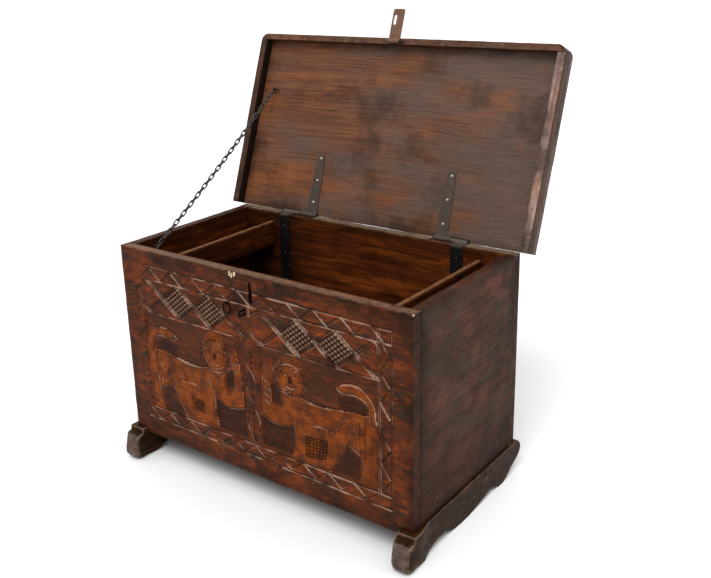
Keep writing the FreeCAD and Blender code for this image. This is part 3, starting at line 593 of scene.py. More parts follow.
def weather(piece, low, high, wave, bite):
    """Let the faces wander a little and bite into the edges, as on old hand-sawn boards."""
    points = points_of(piece)
    inset = np.minimum(points - np.array(low), np.array(high) - points)
    from_edge = np.sort(np.abs(inset), axis=1)[:, 1]
    edge = np.clip(1 - from_edge / EDGE_REACH, 0, 1)
    group = piece.vertex_groups.new(name="edges")
    for index in np.nonzero(edge > 0.05)[0]:
        group.add([int(index)], float(edge[index]), "REPLACE")
    modify(piece, "DISPLACE", texture=clouds(piece.name + "_wave", WAVE_LENGTH), strength=wave,
           mid_level=0.7)
    modify(piece, "DISPLACE", texture=clouds(piece.name + "_bite", BITE_LENGTH, 3), strength=-bite,
           mid_level=0.42, vertex_group="edges")
    piece.vertex_groups.clear()
    # No face stands out of the board's own size, so that nothing rubs when the lid closes
    keep_inside(piece, low, high)
    only(piece)
    bpy.ops.object.shade_smooth_by_angle(angle=math.radians(35))
    mark(piece, "wear", edge)
    mark(piece, "border", np.clip(1 - from_edge / BORDER_REACH, 0, 1))


def closed_box(node):
    """The corners of a lid node as it lies when the lid is closed."""
    points = np.array([CLOSE_LID @ v.co for v in frame["nodes"][node].data.vertices])
    return Vector(points.min(0)), Vector(points.max(0))


def round_front_corners(piece, lid_low, lid_high):
    """Cut the lid's two front corners round, seen from above."""
    edit(piece)
    for side, edge in ((-1, lid_low.x), (1, lid_high.x)):
        middle = Vector((edge - side * LID_CORNER, lid_low.y + LID_CORNER, 0))
        for i in range(1, CORNER_CUTS):
            turn = math.pi / 2 * i / CORNER_CUTS
            out = Vector((side * math.cos(turn), -math.sin(turn), 0))
            bpy.ops.mesh.select_all(action="SELECT")
            bpy.ops.mesh.bisect(plane_co=middle + out * LID_CORNER, plane_no=out, use_fill=True,
                                clear_outer=True)
    done()


def worn_board(name, node, cell=BOARD_CELL, rounding=BOARD_ROUND, wave=BOARD_WAVE, bite=EDGE_BITE, holes=(),
               on_lid=False):
    """A board of the same size as its node, cut out where asked, with rounded and bitten edges. A board of
    the lid is shaped as it lies closed and then turned open."""
    low, high = closed_box(node) if on_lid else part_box(node)
    piece = box_piece(name, low, high)
    for hole in holes:
        modify(piece, "BOOLEAN", object=hole, operation="DIFFERENCE", solver="EXACT")
    if node in ("lid_board", "front_lip"):
        round_front_corners(piece, *closed_box("lid_board"))
    modify(piece, "BEVEL", width=rounding, segments=3, limit_method="ANGLE", angle_limit=math.radians(40))
    slice_up(piece, cell)
    weather(piece, low, high, wave, bite)
    if on_lid:
        piece.data.transform(OPEN_LID)
    return piece


def hinge_rooms(inner_y=None):
    """Cutters for the rooms that the hinges need: a round one for each barrel, and, where a board's inner
    face is given, a shallow one in its rim."""
    cutters = []
    for side in ("left", "right"):
        low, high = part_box("hinge_pin_" + side)
        bpy.ops.mesh.primitive_cylinder_add(vertices=32, radius=BARREL_ROOM,
                                            depth=high.x - low.x + 2 * ROOM_PLAY,
                                            location=((low.x + high.x) / 2, HINGE.y, HINGE.z),
                                            rotation=(0, math.pi / 2, 0))
        bpy.ops.object.transform_apply(location=True, rotation=True, scale=True)
        cutters.append(bpy.context.object)
        if inner_y is not None:
            room_low = Vector((low.x - ROOM_PLAY, inner_y - ROOM_OVER, RIM - ROOM_DEEP))
            room_high = Vector((high.x + ROOM_PLAY, HINGE.y + ROOM_OVER, RIM + ROOM_OVER))
            cutters.append(box_piece("rim_room_" + side, room_low, room_high))
    return cutters


def drop(pieces):
    """Take cutters out of the scene again."""
    for piece in pieces:
        bpy.data.objects.remove(piece)


# Carved front: a height map over the board's face, in millimetres

def steps(low, high, step):
    """Even places from low up to high, without high."""
    count = max(1, round((high - low) / step))
    return list(np.linspace(low, high, count + 1)[:-1])


def smooth_line(points, closed=False, fine=6):
    """A curve through a few points."""
    ring = [np.array(p, float) for p in points]
    if closed:
        ring = [ring[-1]] + ring + ring[:2]
    else:
        ring = [2 * ring[0] - ring[1]] + ring + [2 * ring[-1] - ring[-2]]
    line = []
    for before, a, b, after in zip(ring, ring[1:], ring[2:], ring[3:]):
        for i in range(fine):
            t = i / fine
            line.append(0.5 * (2 * a + (b - before) * t + (2 * before - 5 * a + 4 * b - after) * t ** 2
                               + (3 * a - before - 3 * b + after) * t ** 3))
    if not closed:
        line.append(ring[-2])
    return line


def zigzag(start, stop, high, low, count):
    """Corners of a zigzag that runs from start to stop between two edges, as (along, across)."""
    corners = []
    for i in range(2 * count + 1):
        corners.append((start + (stop - start) * i / (2 * count), low if i % 2 else high))
    return corners


def block(left, right, top, foot):
    """Corners of an upright rectangle."""
    return [(left, top), (right, top), (right, foot), (left, foot)]


def at_least(values, near, least):
    """Raise the values of the near points to a least value."""
    values[near] = np.maximum(values[near], least)


class Carving:
    """What is cut away from the front's face at each point of its grid, and the marks that it leaves."""

    def __init__(self, across, down):
        self.across, self.down = across, down
        self.lines, self.sunk, self.figure = [np.zeros_like(across) for _ in range(3)]
        self.rubbed, self.pale, self.dark = [np.zeros_like(across) for _ in range(3)]

    def near(self, points, margin):
        """The points of the grid round an outline."""
        low, high = np.min(points, 0) - margin, np.max(points, 0) + margin
        return np.nonzero((self.across > low[0]) & (self.across < high[0])
                          & (self.down > low[1]) & (self.down < high[1]))[0]

    def distance(self, points, closed, near):
        """How far the near points are from a line, and in which direction they lie from it."""
        x, y = self.across[near], self.down[near]
        best = np.full(len(near), 1e9)
        away = np.zeros((len(near), 2))
        ends = list(points[1:]) + ([points[0]] if closed else [])
        for a, b in zip(points, ends):
            run = np.array(b, float) - np.array(a, float)
            t = np.clip(((x - a[0]) * run[0] + (y - a[1]) * run[1]) / max(run @ run, 1e-9), 0, 1)
            off = np.stack([x - a[0] - t * run[0], y - a[1] - t * run[1]], 1)
            gap = np.hypot(off[:, 0], off[:, 1])
            closer = gap < best
            best[closer] = gap[closer]
            away[closer] = off[closer] / np.maximum(gap[closer], 1e-6)[:, None]
        return best, away

    def inside(self, points, near):
        """Which of the near points lie inside an outline."""
        x, y = self.across[near], self.down[near]
        odd = np.zeros(len(near), bool)
        for a, b in zip(points, list(points[1:]) + [points[0]]):
            crosses = (a[1] > y) != (b[1] > y)
            rise = b[1] - a[1] if b[1] != a[1] else 1e-9
            odd ^= crosses & (x < (b[0] - a[0]) * (y - a[1]) / rise + a[0])
        return odd

    def share(self, points, near, soft):
        """One inside an outline, zero outside it, and a slope between."""
        gap = self.distance(points, True, near)[0]
        return np.clip(np.where(self.inside(points, near), gap, -gap) / soft + 0.5, 0, 1)

    def groove(self, points, cut=FRAME_CUT, closed=False, light=1.0, shade=0.35):
        """A V-shaped cut along a line, with a painted highlight on the side that faces the light and painted
        shade on the other, or on both where the shade is above one."""
        wide, deep = cut
        near = self.near(points, wide * 1.2)
        gap, away = self.distance(points, closed, near)
        facing = -(away @ LIGHT_SIDE)
        strand = np.clip(1.35 - gap / (0.6 * wide), 0, 1)
        at_least(self.lines, near, deep * np.clip(1 - gap / (wide / 2), 0, 1))
        # Painted highlight on the lit side of the cut; painted shade on the other side, and on both sides
        # where the shade is above one
        at_least(self.pale, near, light * strand * np.clip(1.6 * facing - 0.1, 0, 1))
        at_least(self.dark, near, strand * np.clip(shade - facing, 0, 1))

    def sink(self, points, deep, soft=4.0):
        """A sunken area with sloping edges."""
        near = self.near(points, soft)
        share = self.share(points, near, soft)
        at_least(self.sunk, near, deep * share)
        self.figure[near] *= 1 - share

    def leave(self, points, soft=5.0, blur=18.0):
        """Leave an outline standing in the sunken ground, its stain fading out beyond its edge."""
        near = self.near(points, blur)
        self.sunk[near] *= 1 - self.share(points, near, soft)
        at_least(self.figure, near, self.share(points, near, blur))

    def rub(self, points, amount, soft=12.0):
        """An area whose high places are rubbed pale."""
        near = self.near(points, soft)
        at_least(self.rubbed, near, amount * self.share(points, near, soft))

    def darken(self, points, amount, soft=8.0):
        """An area painted darker: old dirt and dark marks in some places, painted shade in deep hollows in
        others.
        """
        near = self.near(points, soft)
        at_least(self.dark, near, amount * self.share(points, near, soft))


def carve_bands(carving):
    """The frame of lines and zigzags round the field."""
    for line in ([(92, 41), (892, 50)], [(130, 79), (892, 84)],
                 [(86, 466), (892, 474)], [(62, 501), (892, 509)]):
        carving.groove(line)
    for line in ([(86, 175), (440, 176)], [(488, 179), (858, 180)]):
        carving.groove(line, FIELD_CUT)
    for across, light in ((855, 0.7), (862, 0.7), (889, 0.45), (895, 0.45)):
        carving.groove([(across, 46), (across, 508)], UPRIGHT_CUT, light=light)
    for across in (48, 88):
        carving.groove([(across, 92), (across, 466)], FAINT_CUT, light=0.4)
    carving.groove(zigzag(72, 872, 80, 46, 10), TOP_ZIGZAG_CUT)
    carving.groove(zigzag(70, 862, 472, 501, 10))
    carving.groove([(a, b) for b, a in zigzag(76, 471, 862, 890, 5)])
    carving.groove([(a, b) for b, a in zigzag(112, 470, 52, 84, 5)], LEFT_ZIGZAG_CUT, light=0.6)


def clipped(a, b, left, right):
    """The stretch of a line between two uprights, or None."""
    (x0, y0), (x1, y1) = sorted((a, b))
    low, high = max(x0, left), min(x1, right)
    if high - low < 6:
        return None
    rise = (y1 - y0) / (x1 - x0)
    return [(low, y0 + rise * (low - x0)), (high, y0 + rise * (high - x0))]


def check(carving, corners, count, wide, shade):
    """Cross grooves that leave small squares standing, between the sides of a four-cornered area."""
    a, b, c, d = [np.array(p, float) for p in corners]
    for i in range(count + 1):
        t = i / count
        for line in ([a + (b - a) * t, d + (c - d) * t], [a + (d - a) * t, b + (c - b) * t]):
            carving.groove(line, (wide, CHECK_DEEP), light=0.0, shade=shade)


def carve_lozenges(carving):
    """Two rows of four lozenges between crossing double lines, the middle two of each cut into squares."""
    half_wide, half_tall, gap = 58.0, 45.0, 5.5
    check_half_wide, check_half_tall = half_wide - 4, half_tall - 3
    for first, down, left, right in ((97, 127, 47, 446), (504, 131, 470, 858)):
        for i in range(-1, 4):
            for shift in (-gap, gap):
                start, stop = first + 2 * half_wide * i + shift, first + 2 * half_wide * (i + 1) + shift
                for a, b in ((start, stop), (stop, start)):
                    line = clipped((a, down - half_tall), (b, down + half_tall), left, right)
                    if line:
                        carving.groove(line, LOZENGE_CUT)
        for i in (1, 2):
            centre = first + 2 * half_wide * i
            corners = [(centre - check_half_wide, down), (centre, down - check_half_tall),
                       (centre + check_half_wide, down), (centre, down + check_half_tall)]
            carving.rub(corners, 0.85, 5.0)
            check(carving, corners, 6, 5.0, 2.0)


# One lion, as distances from the middle line and down from the rim; the other is its mirror image
LION_GROUND = [(26, 182), (390, 183), (390, 463), (26, 463)]
LION_BODY = [(165, 290), (215, 300), (285, 290), (350, 283), (378, 291), (386, 320), (386, 400), (380, 460),
             (336, 460), (342, 408), (330, 394), (300, 378), (286, 410), (264, 440), (252, 460),
             (128, 460), (137, 420), (135, 374), (92, 388), (60, 385), (28, 373), (30, 345), (33, 290),
             (38, 240), (56, 214), (80, 225), (74, 250), (64, 275), (63, 330), (95, 336), (96, 304),
             (108, 288)]
LION_TAIL = [(382, 310), (386, 262), (378, 238), (358, 222), (325, 215), (290, 219), (268, 231), (290, 242),
             (325, 240), (350, 247), (364, 264), (366, 295)]
LION_HEAD = (127, 250)
LION_HEAD_ROUND = 43
LION_CREST = [(92, 222), (102, 196), (127, 183), (150, 192), (163, 222)]
LION_GAPS = ([(66, 276), (92, 290), (93, 328), (66, 328)],
             [(27, 376), (60, 388), (92, 391), (134, 378), (135, 420), (126, 461), (27, 461)])
LION_HIND_GAP = [(300, 380), (334, 400), (334, 461), (256, 461), (284, 420)]
LION_UNDER_TAIL = [(271, 257), (314, 242), (359, 265), (354, 278), (275, 285)]
LION_EYES = ((112, 238), (141, 238))
LION_NOSE = [(122, 240), (133, 240), (134, 260), (121, 260)]
LION_MOUTH = [(112, 268), (127, 273), (142, 268)]
# Rings of the mane: inner and outer radius, count of cuts, and how far each leans
LION_MANE = ((31, 38, 16, 0.3), (46, 57, 26, 0.12))
# Checked patch on the belly of the left and of the right lion, which is larger, with its count of squares
LION_PATCHES = {-1: ([(184, 398), (226, 394), (222, 428), (184, 432)], 4),
                1: ([(172, 392), (238, 387), (232, 438), (172, 448)], 6)}
# Strokes on the lion, each with its width and depth
LION_STROKES = (
    # Back, rib and belly
    ((6.5, 3.0), [(160, 289), (190, 296), (228, 297), (275, 290), (322, 284), (363, 282)]),
    ((5.5, 2.4), [(186, 354), (224, 352), (256, 354)]),
    # Hind leg: two thin lines down it, and the edges of the gap before it
    ((4.0, 1.6), [(336, 290), (335, 339), (334, 388)]),
    ((4.0, 1.6), [(352, 290), (352, 350), (351, 419)]),
    ((6.0, 2.6), [(303, 373), (325, 385), (347, 399)]),
    ((6.5, 2.6), [(300, 375), (286, 407), (260, 446), (247, 464)]),
    # Shoulder, foreleg and paw
    ((5.0, 1.8), [(152, 294), (152, 325), (138, 372), (136, 415), (127, 458)]),
    ((6.0, 2.8), [(30, 372), (58, 383), (90, 389)]),
    ((5.0, 1.8), [(78, 226), (74, 250), (64, 275), (62, 328)]),
    ((5.0, 1.8), [(56, 214), (42, 238), (36, 290), (31, 345), (29, 370)]),
    # Tail: both edges
    ((6.0, 2.4), [(386, 296), (380, 252), (364, 230), (342, 216), (315, 213), (286, 220), (269, 232)]),
    ((6.0, 2.4), [(269, 232), (288, 242), (323, 237), (350, 243), (365, 262), (367, 292)]),
)


def carve_lion(carving, side):
    """A lion left standing in the sunken ground, with its strokes, its round maned head and its face."""
    def place(points):
        return [(MIDDLE + side * a, b) for a, b in points]

    def round_head(radius, turn):
        return LION_HEAD[0] + radius * math.cos(turn), LION_HEAD[1] + radius * math.sin(turn)

    head = place([round_head(LION_HEAD_ROUND, t) for t in np.linspace(0, 2 * math.pi, 33)[:-1]])
    carving.sink(place(LION_GROUND), GROUND_DEEP)
    for outline in (LION_BODY, LION_TAIL, LION_CREST):
        carving.leave(smooth_line(place(outline), True, 4))
    carving.leave(head)
    carving.groove(head, HEAD_CUT, closed=True)
    # The deep gaps, the hind gap and the hollow under the tail are darkened: painted shade
    for gap in LION_GAPS:
        carving.sink(place(gap), GAP_DEEP)
        carving.darken(place(gap), 0.5)
    carving.sink(smooth_line(place(LION_HIND_GAP), True), GROUND_DEEP)
    carving.darken(place(LION_HIND_GAP), 0.4)
    carving.darken(place(LION_UNDER_TAIL), 0.55)
    patch, squares = LION_PATCHES[side]
    carving.darken(place(patch), 0.2)
    check(carving, place(patch), squares, 5.5, 0.9)
    for cut, line in LION_STROKES:
        carving.groove(smooth_line(place(line)), cut)
    for near, far, count, lean in LION_MANE:
        for i in range(count):
            turn = 2 * math.pi * i / count
            hair = place([round_head(near, turn), round_head(far, turn + lean)])
            carving.groove(hair, MANE_CUT, light=0.7)
    # Short cuts one above another on the raised foreleg
    for level in range(232, 328, 19):
        carving.groove(place([(43, level), (60, level + 6)]), TICK_CUT)
    for across, down in LION_EYES:
        carving.groove(place([(across, down), (across + 3, down)]), EYE_CUT)
    carving.darken(place(LION_NOSE), 0.9, 5.0)
    carving.groove(smooth_line(place(LION_MOUTH)), MOUTH_CUT)


def carve_tree(carving):
    """The stem between the lions, with pointed leaves one above another."""
    top_level, foot_level = 204, 462
    for side, light in ((-1, 0.6), (1, 0.35)):
        for away, foot, cut in ((19, 262, UPRIGHT_CUT), (26, 374, STEM_CUT)):
            across = MIDDLE + side * away
            carving.groove([(across, 168), (across, foot)], cut, light=light)
        for top, foot, wide in ((top_level, 262, 15), (258, 350, 19), (346, foot_level, 22)):
            edge = [(MIDDLE, top), (MIDDLE + side * wide, (top + foot) / 2), (MIDDLE, foot)]
            carving.groove(smooth_line(edge), LEAF_CUT, light=0.8)
            for i in range(1, 4):
                level = top + (foot - top) * i / 4
                vein = [(MIDDLE, level + 8), (MIDDLE + side * wide * 0.4, level)]
                carving.groove(vein, VEIN_CUT, light=0.15)
    carving.groove([(MIDDLE, top_level), (MIDDLE, foot_level)], STEM_CUT, light=0.3)


def wear_marks(carving):
    """Marks of use: an old stroke and a worn patch by the staple, grime round it, three dark nail heads."""
    carving.darken([(408, 32), (470, 32), (468, 112), (408, 106)], 0.6, 24.0)
    carving.groove([(432, 47), (470, 77)], SCAR_CUT)
    carving.rub([(460, 72), (471, 74), (469, 113), (463, 109)], 1.0, 5.0)
    for across, down in ((546, 507), (815, 500), (905, 535)):
        nail = block(across - NAIL_HALF, across + NAIL_HALF, down - NAIL_HALF, down + NAIL_HALF)
        carving.darken(nail, 0.88, 3.0)


def cut_face(across, down):
    """All the carving of the front and its marks of use."""
    carving = Carving(across, down)
    carve_bands(carving)
    carve_lozenges(carving)
    for side in (-1, 1):
        carve_lion(carving, side)
    carve_tree(carving)
    wear_marks(carving)
    return carving


def cut_splinters(across, down):
    """Fresh chips out of the rim and out of its right end."""
    chips = Carving(across, down)
    for sides in ((405, 409, 2, 12), (413, 417, 4, 16), (421, 427, 1, 11), (946, 950, 0, 4)):
        chips.sink(block(*sides), CHIP_DEEP, 2.5)
    return chips


def cut_lock_slot(across, down):
    """The narrow slot of an older lock, painted black inside as painted shade."""
    slot = Carving(across, down)
    slot.sink([(472.5, 21), (477.5, 21), (479.5, 69), (471.5, 69)], SLOT_DEEP, 2.5)
    slot.darken([(470.5, 18), (479.5, 18), (482, 72), (469, 72)], 1.0, 2.0)
    return slot


def hand(across, down, wide, tall, seed):
    """Slow unevenness over the face, about minus one to one."""
    return np.array([noise.noise((a / wide, b / tall, seed)) for a, b in zip(across, down)])


def face_depth(across, down, edge, carving):
    """How deep each point lies behind the board's face: cuts of uneven depth, rounded edges, slow waves."""
    depth = carving.lines * np.clip(0.95 + 0.7 * hand(across, down, 70, 50, 2.5), 0.55, 1.3)
    depth += carving.sunk
    rounding = FRONT_ROUND + 0.7 * hand(across, down, 45, 45, 7.5)
    depth += rounding * np.clip(1 - edge / rounding, 0, 1) ** 2
    depth += 0.5 * hand(across, down, 90, 40, 4.5) + 0.25 * hand(across, down, 14, 5, 6.5)
    return depth


def face_sag(across, down):
    """How far the lower edge hangs between the runners, more to the right."""
    lower = np.clip((down - FIELD_FOOT) / (FRONT_TALL - FIELD_FOOT), 0, 1)
    from_runner = np.minimum(across, FRONT_WIDE - across) - SAG_START
    sag = FRONT_SAG_LEFT + (FRONT_SAG_RIGHT - FRONT_SAG_LEFT) * across / FRONT_WIDE
    return sag * lower * np.clip(from_runner / SAG_RUN, 0, 1)


def face_marks(across, down, edge, carving, chips, slot):
    """What the front's material reads at each point of the face."""
    # Painted highlight on the lit sides of the cuts, uneven, and stronger towards the right
    pale = carving.pale * np.clip(0.7 + 1.0 * hand(across, down, 28, 22, 9.5), 0.15, 1.2)
    pale *= 0.75 + 0.35 * across / FRONT_WIDE
    ground = np.clip(carving.sunk / GROUND_DEEP, 0, 1) * (1 - carving.figure)
    wear = np.where(down > edge, 0.5, 1.0) * np.clip(1 - edge / FRONT_EDGE_REACH, 0, 1)
    return {"figure": carving.figure, "ground": ground, "dark": np.maximum(carving.dark, slot.dark),
            "pale": pale * (1 - slot.dark), "raw": np.clip(chips.sunk / (0.75 * CHIP_DEEP), 0, 1),
            "rubbed": carving.rubbed, "wear": wear, "border": np.clip(1 - edge / FRONT_BORDER_REACH, 0, 1)}


def thicken_front(piece):
    """Draw the face's outline back to the board's thickness and close it, with plain wood behind the face."""
    face_count = len(piece.data.vertices)
    edit(piece)
    bpy.ops.mesh.region_to_loop()
    thick = FRONT_HIGH.y - FRONT_LOW.y - 3 * MM
    for share in (0.15, 0.7, 0.15):
        bpy.ops.mesh.extrude_edges_move(TRANSFORM_OT_translate={"value": (0, thick * share, 0)})
    bpy.ops.mesh.edge_face_add()
    bpy.ops.mesh.select_all(action="SELECT")
    bpy.ops.mesh.normals_make_consistent(inside=False)
    done()
    points = points_of(piece)
    behind = np.arange(len(points)) >= face_count
    on_rim = points[:, 2] > FRONT_HIGH.z - MM
    values = np.empty(len(points), np.float32)
    plain = {"raw": 0.0, "wear": 0.1, "rubbed": 0.5 * on_rim, "dark": 0.45 * ~on_rim, "pale": 0.0}
    for name, new in plain.items():
        piece.data.attributes[name].data.foreach_get("value", values)
        mark(piece, name, np.where(behind, new, values))


def carved_front():
    """The front board: a fine grid over its face, cut to the carving, with the thickness behind it."""
    columns = steps(0, FIELD_LEFT, COARSE_STEP) + steps(FIELD_LEFT, FIELD_RIGHT, FINE_STEP)
    columns += steps(FIELD_RIGHT, FRONT_WIDE, COARSE_STEP) + [FRONT_WIDE]
    rows = steps(0, FIELD_FOOT, FINE_STEP) + steps(FIELD_FOOT, FRONT_TALL, COARSE_STEP) + [FRONT_TALL]
    across, down = [grid.ravel() for grid in np.meshgrid(columns, rows)]
    carving, chips, slot = [cut(across, down) for cut in (cut_face, cut_splinters, cut_lock_slot)]
    edge = np.minimum(np.minimum(across, FRONT_WIDE - across), np.minimum(down, FRONT_TALL - down))
    depth = face_depth(across, down, edge, carving) + slot.sunk + chips.sunk
    level = down + face_sag(across, down)

    last_column, last_row = len(columns) - 1, len(rows) - 1
    bpy.ops.mesh.primitive_grid_add(x_subdivisions=last_column, y_subdivisions=last_row, size=2)
    piece = bpy.context.object
    piece.name = piece.data.name = "carved_front_board"
    flat = points_of(piece)
    column = np.rint((flat[:, 0] + 1) / 2 * last_column).astype(int)
    row = np.rint((1 - flat[:, 1]) / 2 * last_row).astype(int)
    spot = row * len(columns) + column
    points = np.stack([FRONT_LOW.x + across * MM, FRONT_LOW.y + depth * MM, FRONT_HIGH.z - level * MM], 1)
    move_points(piece, points[spot])
    for name, values in face_marks(across, down, edge, carving, chips, slot).items():
        mark(piece, name, values[spot])
    thicken_front(piece)
    only(piece)
    bpy.ops.object.shade_smooth_by_angle(angle=math.radians(60))
    return piece


# Chain

def chain_link(pitch):
    """One oval link, its length along Z and its flat side towards Y."""
    round_part = LINK_WIDE / 2 - LINK_WIRE
    bpy.ops.mesh.primitive_torus_add(major_radius=round_part, minor_radius=LINK_WIRE, major_segments=20,
                                     minor_segments=8, rotation=(math.pi / 2, 0, 0))
    link = bpy.context.object
    bpy.ops.object.transform_apply(location=True, rotation=True, scale=True)
    points = points_of(link)
    stretch = (pitch + LINK_PLAY) / 2 + LINK_WIRE - round_part
    points[:, 2] += np.where(points[:, 2] >= 0, stretch, -stretch)
    move_points(link, points)
    return link


def chain_ends():
    """The middles of the two staple bars that the chain hangs between."""
    low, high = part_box("case_chain_staple")
    case_bar = Vector((high.x - STAPLE_WIRE, (low.y + high.y) / 2, (low.z + high.z) / 2))
    low, high = closed_box("lid_chain_staple")
    lid_bar = OPEN_LID @ Vector(((low.x + high.x) / 2, (low.y + high.y) / 2, low.z + STAPLE_WIRE))
    return case_bar, lid_bar


def hanging_chain():
    """Oval links along a slightly sagging line from the case to the lid, each turned a quarter from the
    last, and the whole chain twisted between its ends."""
    start, end = chain_ends()
    shares = [i / CHAIN_STEPS for i in range(CHAIN_STEPS + 1)]
    places = [start.lerp(end, t) - Vector((0, 0, 4 * CHAIN_SAG * t * (1 - t))) for t in shares]
    run = np.concatenate([[0], np.cumsum([(b - a).length for a, b in zip(places, places[1:])])])
    slack = STAPLE_WIRE + LINK_PLAY / 2
    pitch = (run[-1] + 2 * slack) / LINK_COUNT
    model = chain_link(pitch)
    links = []
    for i in range(LINK_COUNT):
        wanted = pitch * (i + 0.5) - slack
        after = max(1, int(np.searchsorted(run, wanted)))
        before = after - 1
        centre = places[before].lerp(places[after], (wanted - run[before]) / (run[after] - run[before]))
        along = (places[after] - places[before]).normalized()
        level = (Vector((1, 0, 0)) - along * along.x).normalized()
        twist = CHAIN_TWIST * min(1, i / TWIST_LINKS, (LINK_COUNT - 1 - i) / TWIST_LINKS)
        side = Matrix.Rotation(twist + math.pi / 2 * (i % 2), 3, along) @ level
        turn = Matrix((side, along.cross(side), along)).transposed().to_4x4()
        link = model.copy()
        link.data = model.data.copy()
        link.data.transform(Matrix.Translation(centre) @ turn)
        bpy.context.scene.collection.objects.link(link)
        links.append(link)
    bpy.data.objects.remove(model)
    chain = links[0]
    only(chain)
    for link in links:
        link.select_set(True)
    bpy.ops.object.join()
    chain.name = chain.data.name = "hanging_chain"
    bpy.ops.object.shade_smooth()
    return chain, start, end


# Worn runners and forged iron, from their nodes' shapes

def merged_copy(name, node):
    """A new object with a node's mesh, its loose triangles merged."""
    piece = bpy.data.objects.new(name, frame["nodes"][node].data.copy())
    bpy.context.scene.collection.objects.link(piece)
    edit(piece)
    bpy.ops.mesh.remove_doubles(threshold=0.02 * MM)
    done()
    return piece


def shape_toe(piece, low, high):
    """Lean the toe of a runner back towards its top, and round its sole."""
    points = points_of(piece)
    ahead = FRONT_LOW.y - points[:, 1]
    toe = np.clip((ahead - TOE_STEP) / TOE_RUN, 0, 1)
    lean = np.clip((points[:, 2] - LEAN_START) / LEAN_RUN, 0, 1)
    sole = np.clip(1 - points[:, 2] / SOLE_ROUND, 0, 1) ** 2
    foot = np.clip(ahead / FOOT_RUN + 1, 0, 1)
    middle = (low.x + high.x) / 2
    points[:, 0] -= (points[:, 0] - middle) * SOLE_NARROW * sole * foot
    points[:, 1] += TOE_LEAN * toe * lean + SOLE_BACK * toe * sole
    move_points(piece, points)


def worn_runner(name, node):
    """A runner with its arrises a little rounded, its faces gouged and the front of its toe rubbed pale,
    partly as a painted highlight.
    """
    low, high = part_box(node)
    piece = merged_copy(name, node)
    modify(piece, "REMESH", mode="VOXEL", voxel_size=RUNNER_CELL)
    modify(piece, "SMOOTH", factor=0.5, iterations=3)
    shape_toe(piece, low, high)
    modify(piece, "DISPLACE", texture=clouds(name + "_wave", RUNNER_WAVE_LENGTH, 3), strength=RUNNER_WAVE,
           mid_level=0.5)
    keep_inside(piece, low, high)
    only(piece)
    bpy.ops.object.shade_smooth()
    mark_wear(piece, 8, RUNNER_WEAR)
    # The toe's front faces are marked rubbed: pale wood, and partly a painted highlight on the faces towards
    # the front
    on_toe = FRONT_LOW.y - points_of(piece)[:, 1] > 2 * TOE_STEP
    faces_front = rows_of(piece.data.vertices, "normal")[:, 1] < -0.6
    mark(piece, "rubbed", TOE_RUB_AND_HIGHLIGHT * (on_toe & faces_front))
    return piece


def hammered(name, node, voxel):
    """A forged piece with soft edges and the unevenness of hammer work."""
    piece = merged_copy(name, node)
    modify(piece, "REMESH", mode="VOXEL", voxel_size=voxel)
    modify(piece, "SMOOTH", factor=0.5, iterations=2)
    modify(piece, "DISPLACE", texture=clouds(name + "_blows", BLOW_LENGTH), strength=BLOW_DEEP,
           mid_level=0.5)
    only(piece)
    bpy.ops.object.shade_smooth()
    return piece


# Stage

def build_stage():
    """A white floor that keeps the shadow, and an even white surrounding."""
    material, tree = start_material("white_studio_floor")
    surface = add(tree, "ShaderNodeBsdfDiffuse", {"Color": linear("#EAEAEA")})
    add(tree, "ShaderNodeOutputMaterial", {"Surface": surface})
    bpy.ops.mesh.primitive_plane_add(size=60)
    floor = bpy.context.object
    floor.name = "floor"
    floor.data.materials.append(material)

    world = bpy.data.worlds.new("studio")
    bpy.context.scene.world = world
    world.use_nodes = True
    tree = world.node_tree
    tree.nodes.clear()
    # The camera and shiny surfaces see plain white; what lights the object is weaker
    rays = add(tree, "ShaderNodeLightPath").node.outputs
    mirrored = add(tree, "ShaderNodeMath", {0: rays["Is Glossy Ray"], 1: rays["Is Transmission Ray"]},
                   operation="MAXIMUM")
    sees_white = add(tree, "ShaderNodeMath", {0: rays["Is Camera Ray"], 1: mirrored}, operation="MAXIMUM")
    white = add(tree, "ShaderNodeBackground", {"Color": (1, 1, 1, 1), "Strength": 1.0})
    lit = add(tree, "ShaderNodeBackground", {"Color": (1, 1, 1, 1), "Strength": 0.38})
    both = add(tree, "ShaderNodeMixShader", {0: sees_white, 1: lit, 2: white})
    add(tree, "ShaderNodeOutputWorld", {"Surface": both})


def soft_sun(name, place, power, spread):
    """A large soft lamp far away, which lights the floor evenly; its spread is in degrees."""
    lamp = bpy.data.lights.new(name, "SUN")
    lamp.energy = power
    lamp.angle = math.radians(spread)
    holder = bpy.data.objects.new(name, lamp)
    bpy.context.scene.collection.objects.link(holder)
    holder.rotation_euler = (-Vector(place)).to_track_quat("-Z", "Y").to_euler()


def build_camera():
    """The photograph's viewing place and angle."""
    sin_yaw, cos_yaw = math.sin(CAMERA_YAW), math.cos(CAMERA_YAW)
    sin_pitch, cos_pitch = math.sin(CAMERA_PITCH), math.cos(CAMERA_PITCH)
    forward = Vector((sin_yaw * cos_pitch, cos_yaw * cos_pitch, -sin_pitch))
    level = Vector((cos_yaw, -sin_yaw, 0))
    down = forward.cross(level)
    right = math.cos(CAMERA_ROLL) * level + math.sin(CAMERA_ROLL) * down
    up = right.cross(forward)
    camera = bpy.data.cameras.new("camera")
    camera.sensor_width = SENSOR_WIDE_MM
    camera.lens = FOCAL_PIXELS * SENSOR_WIDE_MM / PHOTO_WIDE
    camera.shift_x = -CENTRE_OFFSET[0] / PHOTO_WIDE
    camera.shift_y = CENTRE_OFFSET[1] / PHOTO_WIDE
    holder = bpy.data.objects.new("camera", camera)
    bpy.context.scene.collection.objects.link(holder)
    turn = Matrix((right, up, -forward)).transposed().to_4x4()
    holder.matrix_world = Matrix.Translation(CAMERA_PLACE) @ turn
    bpy.context.scene.camera = holder


# Assembly

